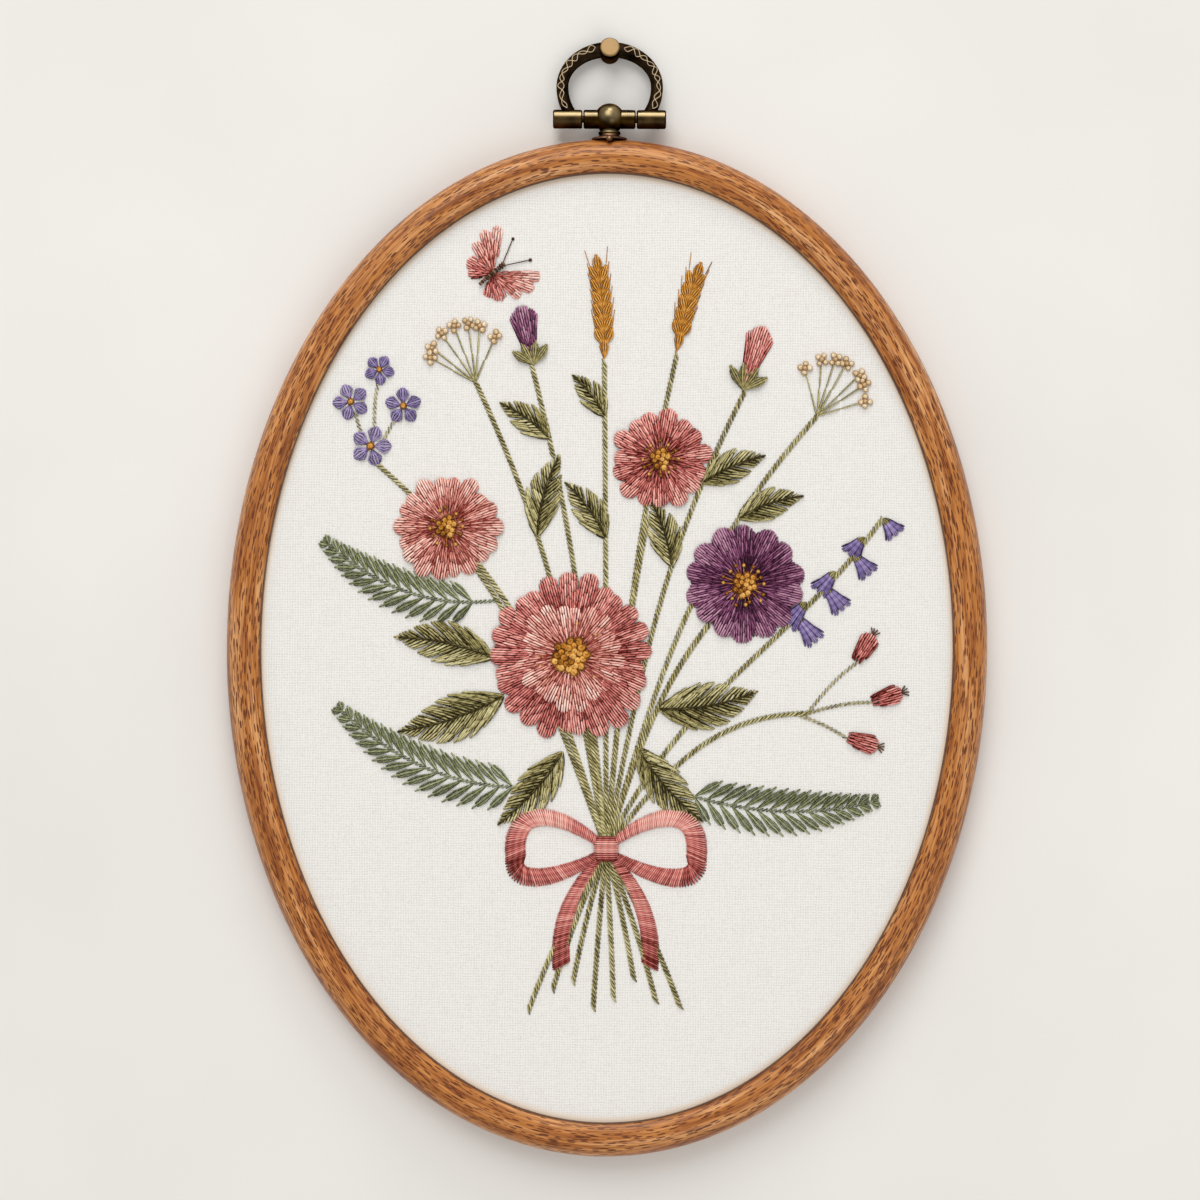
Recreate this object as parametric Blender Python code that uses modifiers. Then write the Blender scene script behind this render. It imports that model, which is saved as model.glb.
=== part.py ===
"""Oval embroidery hoop with its cloth, lying on its back, front face up.

A linen is stretched over an inner hoop and gripped by an outer oak hoop, whose lip covers the edge.
At the top a brass post carries a cross pin, and on the pin swings a D-shaped hanging ring with a stud.
Metres. +X is to the right of the face, +Y towards the hanging ring, +Z out of the face.
The origin is on the resting plane, under the centre of the whole part's box.
"""

import math

import bmesh
import bpy
from mathutils import Vector

MM = 0.001

# The hoops: the oval's outside, and the section of each ring. An inset is a distance in from the outside.
OVAL_WIDTH = 190.0 * MM
OVAL_HEIGHT = 254.0 * MM
OVAL_STEPS = 112
HOOP_DEPTH = 11.0 * MM
LIP_INSET = 9.0 * MM
CROWN_INSET = 4.8 * MM
SHOULDER_Z = 5.0 * MM
LIP_EDGE_Z = 8.9 * MM
BACK_ROUND = 1.0 * MM
WALL = 3.4 * MM
INNER_HOOP_WIDTH = 4.6 * MM
INNER_HOOP_ROUND = 0.8 * MM

# The linen is drawn as one sheet of this thickness, clear of both hoops by the gap.
LINEN_THICK = 1.0 * MM
LINEN_TOP_Z = 8.0 * MM
LINEN_EDGE_Z = 0.8 * MM
LINEN_BEND = 1.4 * MM
GAP = 0.3 * MM

# The hanger's post, turned about +Y, with a barrel along X that the pin runs through. Its foot is let into
# the hoop, and a distance "up" is one from the hoop's outside towards the ring.
BAR_Z = 5.2 * MM
BAR_UP = 5.1 * MM
BAR_RADIUS = 2.35 * MM
SPIGOT_RADIUS = 1.0 * MM
SPIGOT_DEPTH = 2.4 * MM
FLANGE_RADIUS = 4.4 * MM
FLANGE_BED = 0.5 * MM
FLANGE_UP = 0.25 * MM
COLLAR_RADIUS = 2.8 * MM
COLLAR_LOW_UP = 1.3 * MM
COLLAR_TOP_UP = 2.0 * MM
NECK_RADIUS = 2.45 * MM
NECK_TOP_UP = 2.1 * MM
NECK_GROOVE = 0.15 * MM
BALL_RADIUS = 3.75 * MM
BALL_UP = 5.3 * MM
BARREL_HALF = 6.5 * MM
BEAD_RADIUS = 0.85 * MM
BEAD_Z = 10.0 * MM
BEAD_UP = -0.5 * MM
CHAMFER = 0.3 * MM

# The pin, and the knuckles of the hanging ring that turn on its two ends.
PIN_RADIUS = 0.9 * MM
PIN_HALF = 12.9 * MM
KNUCKLE_OUTER = 14.1 * MM

# The hanging ring's centre line: half an ellipse above its widest line, a taller one below it.
# Its lengths run from the pin, in the plane of the ring, which leans down to the resting plane.
RING_HALF_WIDTH = 11.85 * MM
RING_WIDEST_Y = 8.4 * MM
RING_TOP_RISE = 9.9 * MM
RING_FOOT_DROP = 12.4 * MM
RING_FOOT_Y = 1.6 * MM
RING_SIDE_RADIUS = 1.5 * MM
RING_TOP_RADIUS = 2.05 * MM
RING_FLATNESS = 0.7
RING_STEPS = 40
RING_LEAN = math.radians(9.5)

# A round boss in the top of the ring, and the stud riveted into it.
STUD_Y = 17.3 * MM
BOSS_RADIUS = 2.4 * MM
BOSS_TOP = 1.9 * MM
BOSS_BELOW = 1.2 * MM
STUD_RADIUS = 2.5 * MM
STUD_HEIGHT = 2.5 * MM
STUD_SHANK_RADIUS = 0.6 * MM
STUD_SHANK_BELOW = 0.9 * MM

TURNED_STEPS = 28
SMALL_STEPS = 16

STUD_TOP = BOSS_TOP + GAP + STUD_HEIGHT
STUD_EDGE_Y = (STUD_Y + STUD_RADIUS) * math.cos(RING_LEAN) + (STUD_TOP - CHAMFER) * math.sin(RING_LEAN)
BORE_RADIUS = PIN_RADIUS + GAP
HOOP_CENTRE_Y = -(BAR_UP + STUD_EDGE_Y) / 2
HOOP_TOP_Y = HOOP_CENTRE_Y + OVAL_HEIGHT / 2
BAR_Y = HOOP_TOP_Y + BAR_UP
ALONG_Y = (-math.pi / 2, 0, 0)
ALONG_X = (0, math.pi / 2, 0)


# ---------------------------------------------------------------- scene and materials

def clear_scene():
    for old in list(bpy.data.objects):
        bpy.data.objects.remove(old, do_unlink=True)


def new_collection(name):
    collection = bpy.data.collections.new(name)
    bpy.context.scene.collection.children.link(collection)
    return collection


def material(name, colour, roughness, metallic=0.0):
    made = bpy.data.materials.new(name)
    made.use_nodes = True
    shader = made.node_tree.nodes["Principled BSDF"]
    shader.inputs["Base Color"].default_value = (*colour, 1.0)
    shader.inputs["Roughness"].default_value = roughness
    shader.inputs["Metallic"].default_value = metallic
    made.diffuse_color = (*colour, 1.0)
    return made


clear_scene()
PARTS = new_collection("oval_embroidery_hoop")
CUTTERS = new_collection("cutters_and_guides")
OAK = material("oiled_oak", (0.42, 0.18, 0.06), 0.5)
BEECH = material("plain_beech", (0.55, 0.36, 0.18), 0.6)
LINEN = material("white_linen", (0.83, 0.80, 0.74), 0.9)
BRASS = material("aged_brass", (0.24, 0.18, 0.08), 0.35, 1.0)
PALE_BRASS = material("rubbed_brass", (0.62, 0.46, 0.24), 0.4, 1.0)


# ---------------------------------------------------------------- helpers

def add_part(name, data, finish, parent=None):
    part = bpy.data.objects.new(name, data)
    data.materials.append(finish)
    part.parent = parent
    PARTS.objects.link(part)
    return part


def add_guide(name, data, parent=None):
    """A cutter, a body to be joined, or a section: it is never shown by itself."""
    guide = bpy.data.objects.new(name, data)
    guide.parent = parent
    guide.hide_render = True
    guide.display_type = "WIRE"
    CUTTERS.objects.link(guide)
    return guide


def arc(centre, radii, start, end, steps):
    """Points on an ellipse, from the start angle to the end angle in degrees, both included."""
    points = []
    for i in range(steps + 1):
        angle = math.radians(start + (end - start) * i / steps)
        points.append((centre[0] + radii[0] * math.cos(angle), centre[1] + radii[1] * math.sin(angle)))
    return points


def oval_point(step, inset, z):
    """A point on the oval's outline, moved in along its normal. The outline runs anticlockwise."""
    angle = 2 * math.pi * step / OVAL_STEPS
    a, b = OVAL_WIDTH / 2, OVAL_HEIGHT / 2
    on_oval = Vector((a * math.cos(angle), b * math.sin(angle), 0))
    normal = Vector((b * math.cos(angle), a * math.sin(angle), 0)).normalized()
    return on_oval - normal * inset + Vector((0, HOOP_CENTRE_Y, z))


def flat_curve(name, points, cyclic):
    """An unfilled curve in its own XY plane, through (x, y) points."""
    curve = bpy.data.curves.new(name, "CURVE")
    curve.dimensions = "2D"
    curve.fill_mode = "NONE"
    spline = curve.splines.new("POLY")
    spline.points.add(len(points) - 1)
    for place, (x, y) in zip(spline.points, points):
        place.co = (x, y, 0.0, 1.0)
    spline.use_cyclic_u = cyclic
    return curve


def section(name, outline):
    """A closed section to sweep: its x runs away from the path's left side, and its y is the height."""
    return add_guide(name, flat_curve(name, outline, cyclic=True))


def turned_mesh(name, profile):
    """The half-section that a turned body is spun from: (radius, height) pairs, from top to bottom."""
    mesh = bpy.data.meshes.new(name)
    bm = bmesh.new()
    corners = [bm.verts.new((radius, 0.0, height)) for radius, height in profile]
    for first, second in zip(corners, corners[1:]):
        bm.edges.new((first, second))
    bm.to_mesh(mesh)
    bm.free()
    return mesh


def spin(part, steps):
    """Turns the half-section about its own Z."""
    screw = part.modifiers.new("turned", "SCREW")
    screw.steps = steps
    screw.render_steps = steps
    screw.use_merge_vertices = True
    screw.merge_threshold = 0.00001
    screw.use_smooth_shade = True


def round_bar(name, radius, low, high, chamfer=0.0):
    """The half-section of a cylinder from low to high, with its ends chamfered if asked."""
    top, bottom = [(radius, high)], [(radius, low)]
    if chamfer:
        top = [(radius - chamfer, high), (radius, high - chamfer)]
        bottom = [(radius, low + chamfer), (radius - chamfer, low)]
    return turned_mesh(name, [(0.0, high)] + top + bottom + [(0.0, low)])


def round_tool(name, steps, pivot, *sizes):
    """A round bar that is joined to a part or cut from it, along its own Z until it is turned."""
    tool = add_guide(name, round_bar(name, *sizes), pivot)
    spin(tool, steps)
    return tool


def combine(part, tool, operation):
    boolean = part.modifiers.new(tool.name, "BOOLEAN")
    boolean.operation = operation
    boolean.object = tool
    boolean.solver = "EXACT"


def swept_mesh(curve, outline):
    """The outline swept along the curve, as a closed mesh that a Boolean can cut."""
    curve.bevel_mode = "OBJECT"
    curve.bevel_object = section(curve.name + "_section", outline)
    curve.use_fill_caps = True
    swept = bpy.data.objects.new(curve.name, curve)
    PARTS.objects.link(swept)
    bpy.context.view_layer.update()
    mesh = bpy.data.meshes.new_from_object(swept.evaluated_get(bpy.context.evaluated_depsgraph_get()))
    bpy.data.objects.remove(swept)
    bm = bmesh.new()
    bm.from_mesh(mesh)
    bmesh.ops.remove_doubles(bm, verts=bm.verts, dist=0.000001)
    bmesh.ops.recalc_face_normals(bm, faces=bm.faces)
    bm.to_mesh(mesh)
    bm.free()
    mesh.materials.clear()
    return mesh


# ---------------------------------------------------------------- the two hoops

def moulding(name, outline, finish):
    """A ring of constant section, swept round the oval."""
    path = [oval_point(step, 0.0, 0.0).to_2d() for step in range(OVAL_STEPS)]
    return add_part(name, swept_mesh(flat_curve(name, path, cyclic=True), outline), finish)


def outer_section():
    """A wall round the linen's edge, with a rounded shoulder, a crown and a lip over the inner hoop."""
    outline = [(WALL, 0.0)]
    outline += arc((BACK_ROUND, BACK_ROUND), (BACK_ROUND, BACK_ROUND), 270, 180, 2)
    outline += arc((CROWN_INSET, SHOULDER_Z), (CROWN_INSET, HOOP_DEPTH - SHOULDER_Z), 180, 90, 6)
    slope = (LIP_INSET - CROWN_INSET, HOOP_DEPTH - LIP_EDGE_Z)
    outline += arc((CROWN_INSET, LIP_EDGE_Z), slope, 90, 0, 4)[1:]
    outline += [(LIP_INSET, LINEN_TOP_Z + GAP), (WALL, LINEN_TOP_Z + GAP)]
    return outline


def inner_section():
    """A plain strip on edge, rounded where the linen bends over it."""
    outside = WALL + GAP + LINEN_THICK + GAP
    inside = outside + INNER_HOOP_WIDTH
    top = LINEN_TOP_Z - LINEN_THICK - GAP
    corner = (outside + INNER_HOOP_ROUND, top - INNER_HOOP_ROUND)
    outline = [(inside, 0.0), (outside, 0.0)]
    outline += arc(corner, (INNER_HOOP_ROUND, INNER_HOOP_ROUND), 180, 90, 2)
    outline += [(inside, top)]
    return outline


def bed_profile():
    """The cut in the hoop that takes the post's flange and spigot."""
    hole, bed = SPIGOT_RADIUS + GAP, FLANGE_RADIUS + GAP
    return [(0.0, bed), (bed, bed), (bed, -FLANGE_BED), (hole, -FLANGE_BED), (hole, -SPIGOT_DEPTH - GAP),
            (0.0, -SPIGOT_DEPTH - GAP)]


outer_hoop = moulding("outer_hoop", outer_section(), OAK)
moulding("inner_hoop", inner_section(), BEECH)
post_bed = add_guide("post_bed", turned_mesh("post_bed", bed_profile()))
post_bed.location = (0.0, HOOP_TOP_Y, BAR_Z)
post_bed.rotation_euler = ALONG_Y
spin(post_bed, TURNED_STEPS)
combine(outer_hoop, post_bed, "DIFFERENCE")


# ---------------------------------------------------------------- the linen

def linen_mesh():
    """The linen's outside: a flat oval whose edge bends down and runs between the two hoops."""
    outside = WALL + GAP
    bend = arc((outside + LINEN_BEND, LINEN_TOP_Z - LINEN_BEND), (LINEN_BEND, LINEN_BEND), 90, 180, 3)
    bm = bmesh.new()
    loops = []
    for inset, z in bend + [(outside, LINEN_EDGE_Z)]:
        loops.append([bm.verts.new(oval_point(step, inset, z)) for step in range(OVAL_STEPS)])
    bm.faces.new(loops[0])
    for upper, lower in zip(loops, loops[1:]):
        for step in range(OVAL_STEPS):
            after = (step + 1) % OVAL_STEPS
            bm.faces.new((upper[step], lower[step], lower[after], upper[after]))
    bmesh.ops.recalc_face_normals(bm, faces=bm.faces)
    mesh = bpy.data.meshes.new("linen")
    bm.to_mesh(mesh)
    bm.free()
    return mesh


linen = add_part("linen", linen_mesh(), LINEN)
thickness = linen.modifiers.new("thickness", "SOLIDIFY")
thickness.thickness = LINEN_THICK
thickness.offset = -1.0
thickness.use_even_offset = True


# ---------------------------------------------------------------- the post

def post_profile():
    """Ball, neck, collar, flange and spigot: (radius, distance up from the hoop), from the top down."""
    groove = NECK_RADIUS - NECK_GROOVE
    groove_meets_ball = math.degrees(math.acos(groove / BALL_RADIUS))
    profile = [(0.0, BALL_UP + BALL_RADIUS)]
    profile += arc((0.0, BALL_UP), (BALL_RADIUS, BALL_RADIUS), 75, -groove_meets_ball, 8)
    profile += [(groove, NECK_TOP_UP + NECK_GROOVE), (NECK_RADIUS, NECK_TOP_UP)]
    profile += [(NECK_RADIUS, COLLAR_TOP_UP), (COLLAR_RADIUS - CHAMFER, COLLAR_TOP_UP)]
    profile += arc((COLLAR_RADIUS - CHAMFER, (COLLAR_LOW_UP + COLLAR_TOP_UP) / 2),
                   (CHAMFER, (COLLAR_TOP_UP - COLLAR_LOW_UP) / 2), 60, -60, 2)
    flare = (FLANGE_RADIUS - COLLAR_RADIUS + CHAMFER, COLLAR_LOW_UP - FLANGE_UP)
    profile += arc((FLANGE_RADIUS, COLLAR_LOW_UP), flare, 180, 270, 3)
    flange_foot = GAP - FLANGE_BED
    profile += [(FLANGE_RADIUS, flange_foot), (SPIGOT_RADIUS, flange_foot)]
    return profile + [(SPIGOT_RADIUS, -SPIGOT_DEPTH), (0.0, -SPIGOT_DEPTH)]


def post():
    body = add_part("hanger_post", turned_mesh("hanger_post", post_profile()), BRASS)
    body.location = (0.0, HOOP_TOP_Y, BAR_Z)
    body.rotation_euler = ALONG_Y
    spin(body, TURNED_STEPS)
    barrel = round_tool("post_barrel", TURNED_STEPS, None, BAR_RADIUS, -BARREL_HALF, BARREL_HALF, CHAMFER)
    barrel.location = (0.0, BAR_Y, BAR_Z)
    barrel.rotation_euler = ALONG_X
    combine(body, barrel, "UNION")
    bead_mesh = bpy.data.meshes.new("post_bead")
    bm = bmesh.new()
    bmesh.ops.create_uvsphere(bm, u_segments=12, v_segments=8, radius=BEAD_RADIUS)
    for face in bm.faces:
        face.smooth = True
    bm.to_mesh(bead_mesh)
    bm.free()
    bead = add_guide("post_bead", bead_mesh)
    bead.location = (0.0, HOOP_TOP_Y + BEAD_UP, BEAD_Z)
    combine(body, bead, "UNION")
    bore = round_tool("post_bore", SMALL_STEPS, None, BORE_RADIUS, -PIN_HALF, PIN_HALF)
    bore.location = barrel.location
    bore.rotation_euler = ALONG_X
    combine(body, bore, "DIFFERENCE")


post()
pin = add_part("hanger_pin", round_bar("hanger_pin", PIN_RADIUS, -PIN_HALF, PIN_HALF), BRASS)
pin.location = (0.0, BAR_Y, BAR_Z)
pin.rotation_euler = ALONG_X
spin(pin, SMALL_STEPS)


# ---------------------------------------------------------------- the hanging ring

def ring_path():
    """(x, y, share of the way to the top radius) along the ring's middle, from one foot to the other."""
    foot = math.asin((RING_FOOT_Y - RING_WIDEST_Y) / RING_FOOT_DROP)
    path = []
    for i in range(RING_STEPS + 1):
        angle = foot + (math.pi - 2 * foot) * i / RING_STEPS
        rise = RING_TOP_RISE if math.sin(angle) > 0 else RING_FOOT_DROP
        x = RING_HALF_WIDTH * math.cos(angle)
        y = RING_WIDEST_Y + rise * math.sin(angle)
        path.append((x, y, max(0.0, math.sin(angle)) ** 2))
    return path


def ring_band(pivot):
    """The ring's band: an oval section that widens towards the top."""
    path = ring_path()
    curve = flat_curve("ring_band", [(x, y) for x, y, _ in path], cyclic=False)
    for point, (_, _, share) in zip(curve.splines[0].points, path):
        point.radius = (RING_SIDE_RADIUS + (RING_TOP_RADIUS - RING_SIDE_RADIUS) * share) / RING_TOP_RADIUS
    outline = arc((0.0, 0.0), (RING_TOP_RADIUS, RING_TOP_RADIUS * RING_FLATNESS), 0, 330, 11)
    return add_part("hanging_ring", swept_mesh(curve, outline), BRASS, pivot)


def hanging_ring(pivot):
    ring = ring_band(pivot)
    boss = round_tool("boss", TURNED_STEPS, pivot, BOSS_RADIUS, -BOSS_BELOW, BOSS_TOP)
    past = 2 * RING_TOP_RADIUS
    hole = round_tool("stud_hole", SMALL_STEPS, pivot, STUD_SHANK_RADIUS + GAP, -past, past)
    for tool, operation in ((boss, "UNION"), (hole, "DIFFERENCE")):
        tool.location = (0.0, STUD_Y, 0.0)
        combine(ring, tool, operation)
    for name, side in (("right_knuckle", 1), ("left_knuckle", -1)):
        low, high = sorted((side * (BARREL_HALF + GAP), side * KNUCKLE_OUTER))
        knuckle = round_tool(name, TURNED_STEPS, pivot, BAR_RADIUS, low, high, CHAMFER)
        knuckle.rotation_euler = ALONG_X
        combine(ring, knuckle, "UNION")
    socket_half = PIN_HALF + GAP
    sockets = round_tool("ring_sockets", SMALL_STEPS, pivot, BORE_RADIUS, -socket_half, socket_half)
    sockets.rotation_euler = ALONG_X
    combine(ring, sockets, "DIFFERENCE")


def stud_profile():
    """A round head above the boss, with a shank down through it."""
    seat = BOSS_TOP + GAP
    profile = [(0.0, STUD_TOP), (STUD_RADIUS - CHAMFER, STUD_TOP), (STUD_RADIUS, STUD_TOP - CHAMFER)]
    profile += [(STUD_RADIUS, seat), (STUD_SHANK_RADIUS, seat)]
    return profile + [(STUD_SHANK_RADIUS, -STUD_SHANK_BELOW), (0.0, -STUD_SHANK_BELOW)]


ring_pivot = bpy.data.objects.new("ring_pivot", None)
ring_pivot.location = (0.0, BAR_Y, BAR_Z)
ring_pivot.rotation_euler = (-RING_LEAN, 0.0, 0.0)
PARTS.objects.link(ring_pivot)
hanging_ring(ring_pivot)
stud = add_part("ring_stud", turned_mesh("ring_stud", stud_profile()), PALE_BRASS, ring_pivot)
stud.location = (0.0, STUD_Y, 0.0)
spin(stud, TURNED_STEPS)
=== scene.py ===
# %% [markdown]
# # An embroidered linen in an oval oak hoop
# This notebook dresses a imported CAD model. The model is the fixed frame: two wooden hoops, the linen that
# is stretched between them, and a brass hanger. Every piece that is made here is placed by the frame's own
# sizes, rides on its one body and stays inside its box. Lengths are in metres, and MM turns millimetres
# into them.

# %% Load the frame
import cmath
import math
import random

import bmesh
import bpy
from mathutils import Matrix, Vector


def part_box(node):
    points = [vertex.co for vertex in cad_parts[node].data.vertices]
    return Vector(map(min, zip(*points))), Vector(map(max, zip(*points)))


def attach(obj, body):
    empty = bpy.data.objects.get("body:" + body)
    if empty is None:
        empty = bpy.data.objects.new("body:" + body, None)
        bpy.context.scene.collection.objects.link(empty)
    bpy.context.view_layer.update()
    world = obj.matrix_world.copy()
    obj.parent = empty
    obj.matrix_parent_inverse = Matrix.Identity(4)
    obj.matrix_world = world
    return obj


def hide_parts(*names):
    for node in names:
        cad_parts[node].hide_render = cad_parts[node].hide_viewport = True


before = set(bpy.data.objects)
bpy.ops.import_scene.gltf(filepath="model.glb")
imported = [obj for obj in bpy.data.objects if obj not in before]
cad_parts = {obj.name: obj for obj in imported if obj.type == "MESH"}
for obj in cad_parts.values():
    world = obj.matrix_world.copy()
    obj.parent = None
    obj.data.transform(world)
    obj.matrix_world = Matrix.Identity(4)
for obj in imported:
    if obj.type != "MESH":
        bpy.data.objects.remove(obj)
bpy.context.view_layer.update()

MM = 0.001
OVAL = (95.0 * MM, 127.0 * MM)     # half the hoop's width and height outside
hoop_low, hoop_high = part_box("outer_hoop")
MIDDLE = Vector((0.0, hoop_low.y + OVAL[1], 0.0))
print("nodes:", ", ".join(sorted(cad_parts)))
print("the hoop's middle is at", [round(c / MM, 2) for c in MIDDLE], "mm")

# %% [markdown]
# ## Camera, table and light
# The picture is taken straight down on the face, from far enough for the hoop to look nearly flat. The
# light is a wide window beyond the top of the hoop, a little to the left, so each thread and the upper side
# of the moulding are bright, and a soft shadow lies below. A second, lower window draws the bright line
# along the brass bar, which the brass's finish also paints as a highlight. A pale wall at the other end of
# the room and a plain pale world fill the shadows. The Standard view shows a colour as it was chosen, where
# the default one would grey the pinks.

# %% Camera
VIEW_LEVEL = 5 * MM                # over the table: about half the hoop's depth
VIEW_HEIGHT = 0.70                 # from the lens down to that level
VIEW_WIDTH = 0.300                 # what the square picture takes in there
VIEW_CENTRE = (-1.8 * MM, -0.7 * MM)
VIEW_TURN = math.radians(0.28)
SENSOR = 36.0

camera_data = bpy.data.cameras.new("camera")
camera_data.sensor_width = SENSOR
camera_data.lens = SENSOR * VIEW_HEIGHT / VIEW_WIDTH
camera = bpy.data.objects.new("camera", camera_data)
camera.location = (*VIEW_CENTRE, VIEW_LEVEL + VIEW_HEIGHT)
camera.rotation_euler = (0.0, 0.0, VIEW_TURN)
bpy.context.scene.collection.objects.link(camera)
bpy.context.scene.camera = camera
bpy.context.scene.view_settings.view_transform = "Standard"
print("lens", round(camera_data.lens, 1), "mm")


# %% Tools for materials
def linear(hex_colour):
    """An sRGB hex colour as linear RGBA."""
    channels = [int(hex_colour[i:i + 2], 16) / 255 for i in (1, 3, 5)]
    return (*[c / 12.92 if c <= 0.04045 else ((c + 0.055) / 1.055) ** 2.4 for c in channels], 1.0)


def plain(value):
    """A hex colour as linear RGBA, and any other value as it is."""
    return linear(value) if str(value).startswith("#") else value


def add(tree, kind, inputs=None, into=None, stops=(), **settings):
    """Adds one node. An input is a value, a hex colour, a socket, or a node whose output is meant."""
    node = tree.nodes.new(kind)
    for name, value in settings.items():
        setattr(node, name, value)
    for name, source in (inputs or {}).items():
        socket = next(s for s in node.inputs if s.enabled and name in (s.name, s.identifier))
        if isinstance(source, bpy.types.Node):
            source = next(s for s in source.outputs if s.enabled)
        if isinstance(source, bpy.types.NodeSocket):
            tree.links.new(source, socket)
        else:
            socket.default_value = plain(source)
    for i, (place, colour) in enumerate(stops):
        elements = node.color_ramp.elements
        element = elements[i] if i < 2 else elements.new(place)
        element.position, element.color = place, linear(colour)
    if into:
        tree.links.new(next(s for s in node.outputs if s.enabled), into)
    return node


def new_material(name, **values):
    """A material, its tree and its shader, with values on the shader's own sockets."""
    material = bpy.data.materials.new(name)
    material.use_nodes = True
    shader = material.node_tree.nodes["Principled BSDF"]
    for socket, value in values.items():
        shader.inputs[socket.replace("_", " ")].default_value = plain(value)
    print("finish:", name)
    return material, material.node_tree, shader


# %% Table
def painted_board():
    """Matt painted board: pale and warm, with the faintest cloudiness, so that only shadows mark it."""
    material, tree, shader = new_material("painted_board", Roughness=0.85)
    place = add(tree, "ShaderNodeTexCoord").outputs["Object"]
    clouds = add(tree, "ShaderNodeTexNoise", {"Vector": place, "Scale": 9.0, "Detail": 3.0})
    add(tree, "ShaderNodeValToRGB", {"Fac": clouds}, shader.inputs["Base Color"],
        stops=[(0.3, "#e6e5e3"), (0.7, "#edecea")])
    return material


TABLE_WIDTH = 4.0
bpy.ops.mesh.primitive_plane_add(size=TABLE_WIDTH)
table = bpy.context.object
table.name = "table"
table.data.materials.append(painted_board())
print("the table is", TABLE_WIDTH, "m wide")


# %% Light
def soft_light(name, place, size, watts, colour):
    """A round area light that faces the hoop."""
    data = bpy.data.lights.new(name, "AREA")
    data.shape = "DISK"
    data.size = size
    data.energy = watts
    data.color = linear(colour)[:3]
    light = bpy.data.objects.new(name, data)
    light.location = place
    light.rotation_euler = Vector(place).to_track_quat("Z", "Y").to_euler()
    bpy.context.scene.collection.objects.link(light)
    print(f"{name}: {watts} W from {size} m across")


soft_light("window", (-0.35, 1.25, 1.45), 1.3, 15.0, "#fffdfa")
soft_light("low_window", (0.10, 1.80, 0.75), 0.6, 8.0, "#fffdfa")
soft_light("far_wall", (0.5, -0.8, 1.3), 1.2, 4.5, "#fffaf4")
world = bpy.data.worlds.new("room")
world.use_nodes = True
world.node_tree.nodes["Background"].inputs["Color"].default_value = linear("#f7f5f1")
world.node_tree.nodes["Background"].inputs["Strength"].default_value = 0.60
bpy.context.scene.world = world

# %% [markdown]
# ## The oak hoop
# On the real object this is a thin oak moulding, steamed round a form, glued end to end, sanded round and
# oiled. A curve with a bevel would do, but a ring built section by section also gives a UV map in real
# metres: its first axis runs along the grain, all the way round, and its second one across the moulding.
# The pores of oak are long dark spindles along the grain, so the pattern has to follow that map. The glued
# end is at the top, under the hanger.

# %% Tools for the two hoops
RING_STEPS = 288


def arc(centre, radii, start, end, steps):
    """(inset, height) points on an ellipse from one angle to another, in degrees."""
    angles = [math.radians(start + (end - start) * i / steps) for i in range(steps + 1)]
    return [(centre[0] + radii[0] * math.cos(a), centre[1] + radii[1] * math.sin(a)) for a in angles]


def oval_place(turn, inset, height):
    """A point at a share of a turn from the top, moved in from the oval's outside along its normal."""
    angle = math.pi / 2 + 2 * math.pi * turn
    on_oval = Vector((OVAL[0] * math.cos(angle), OVAL[1] * math.sin(angle), height))
    out = Vector((OVAL[1] * math.cos(angle), OVAL[0] * math.sin(angle), 0.0)).normalized()
    return MIDDLE + on_oval - out * inset


# %% Tools for finished pieces
def link_mesh(name, bm, material, smooth_under=40):
    """Keeps a bmesh as a piece with one material, smooth where its faces meet under that angle."""
    bmesh.ops.recalc_face_normals(bm, faces=bm.faces)
    mesh = bpy.data.meshes.new(name)
    bm.to_mesh(mesh)
    bm.free()
    mesh.materials.append(material)
    mesh.shade_smooth()
    mesh.set_sharp_from_angle(angle=math.radians(smooth_under))
    piece = bpy.data.objects.new(name, mesh)
    bpy.context.scene.collection.objects.link(piece)
    return piece


def triangle_count(piece):
    """How many triangles the piece's faces come to."""
    return sum(len(face.vertices) - 2 for face in piece.data.polygons)


def dress(piece, slot, *nodes):
    """The piece rides on the one body and stands for the CAD nodes named. The slot is not used."""
    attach(piece, "root")
    if nodes:
        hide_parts(*nodes)
    print(f"{piece.name}: {triangle_count(piece)} triangles")


# %% A section carried round the oval
def moulding(name, outline, material):
    """A closed section carried round the oval, with a UV map in metres along and across it."""
    bm = bmesh.new()
    uv = bm.loops.layers.uv.new("UVMap")
    rows = []
    for i in range(RING_STEPS):
        rows.append([bm.verts.new(oval_place(i / RING_STEPS, *point)) for point in outline])
    across = [0.0]
    for a, b in zip(outline, outline[1:] + outline[:1]):
        across.append(across[-1] + math.dist(a, b))
    along = 0.0
    for i, row in enumerate(rows):
        ahead = rows[(i + 1) % RING_STEPS]
        step = (ahead[0].co - row[0].co).length
        for j in range(len(outline)):
            k = (j + 1) % len(outline)
            face = bm.faces.new((row[j], row[k], ahead[k], ahead[j]))
            for loop, u, v in zip(face.loops, (0, 0, step, step), (j, j + 1, j + 1, j)):
                loop[uv].uv = (along + u, across[v])
        along += step
    print(f"{name}: {along:.3f} m round and {across[-1] / MM:.1f} mm about its section")
    return link_mesh(name, bm, material)


# %% The oak's section
WALL, LIP = 3.4 * MM, 9.0 * MM     # insets of the wall's inner side and of the lip's edge
CROWN = 4.8 * MM                   # inset of the highest line
SHOULDER = 5.0 * MM                # height at which the round over the crown starts
LIP_EDGE = 8.9 * MM                # height at which it ends
LIP_CORNER = (LIP, LIP_EDGE - 0.1 * MM)
DEPTH = hoop_high.z
LINEN_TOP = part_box("linen")[1].z
GAP = 0.3 * MM                     # between the lip and the linen
BACK_ROUND = 1.0 * MM


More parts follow.
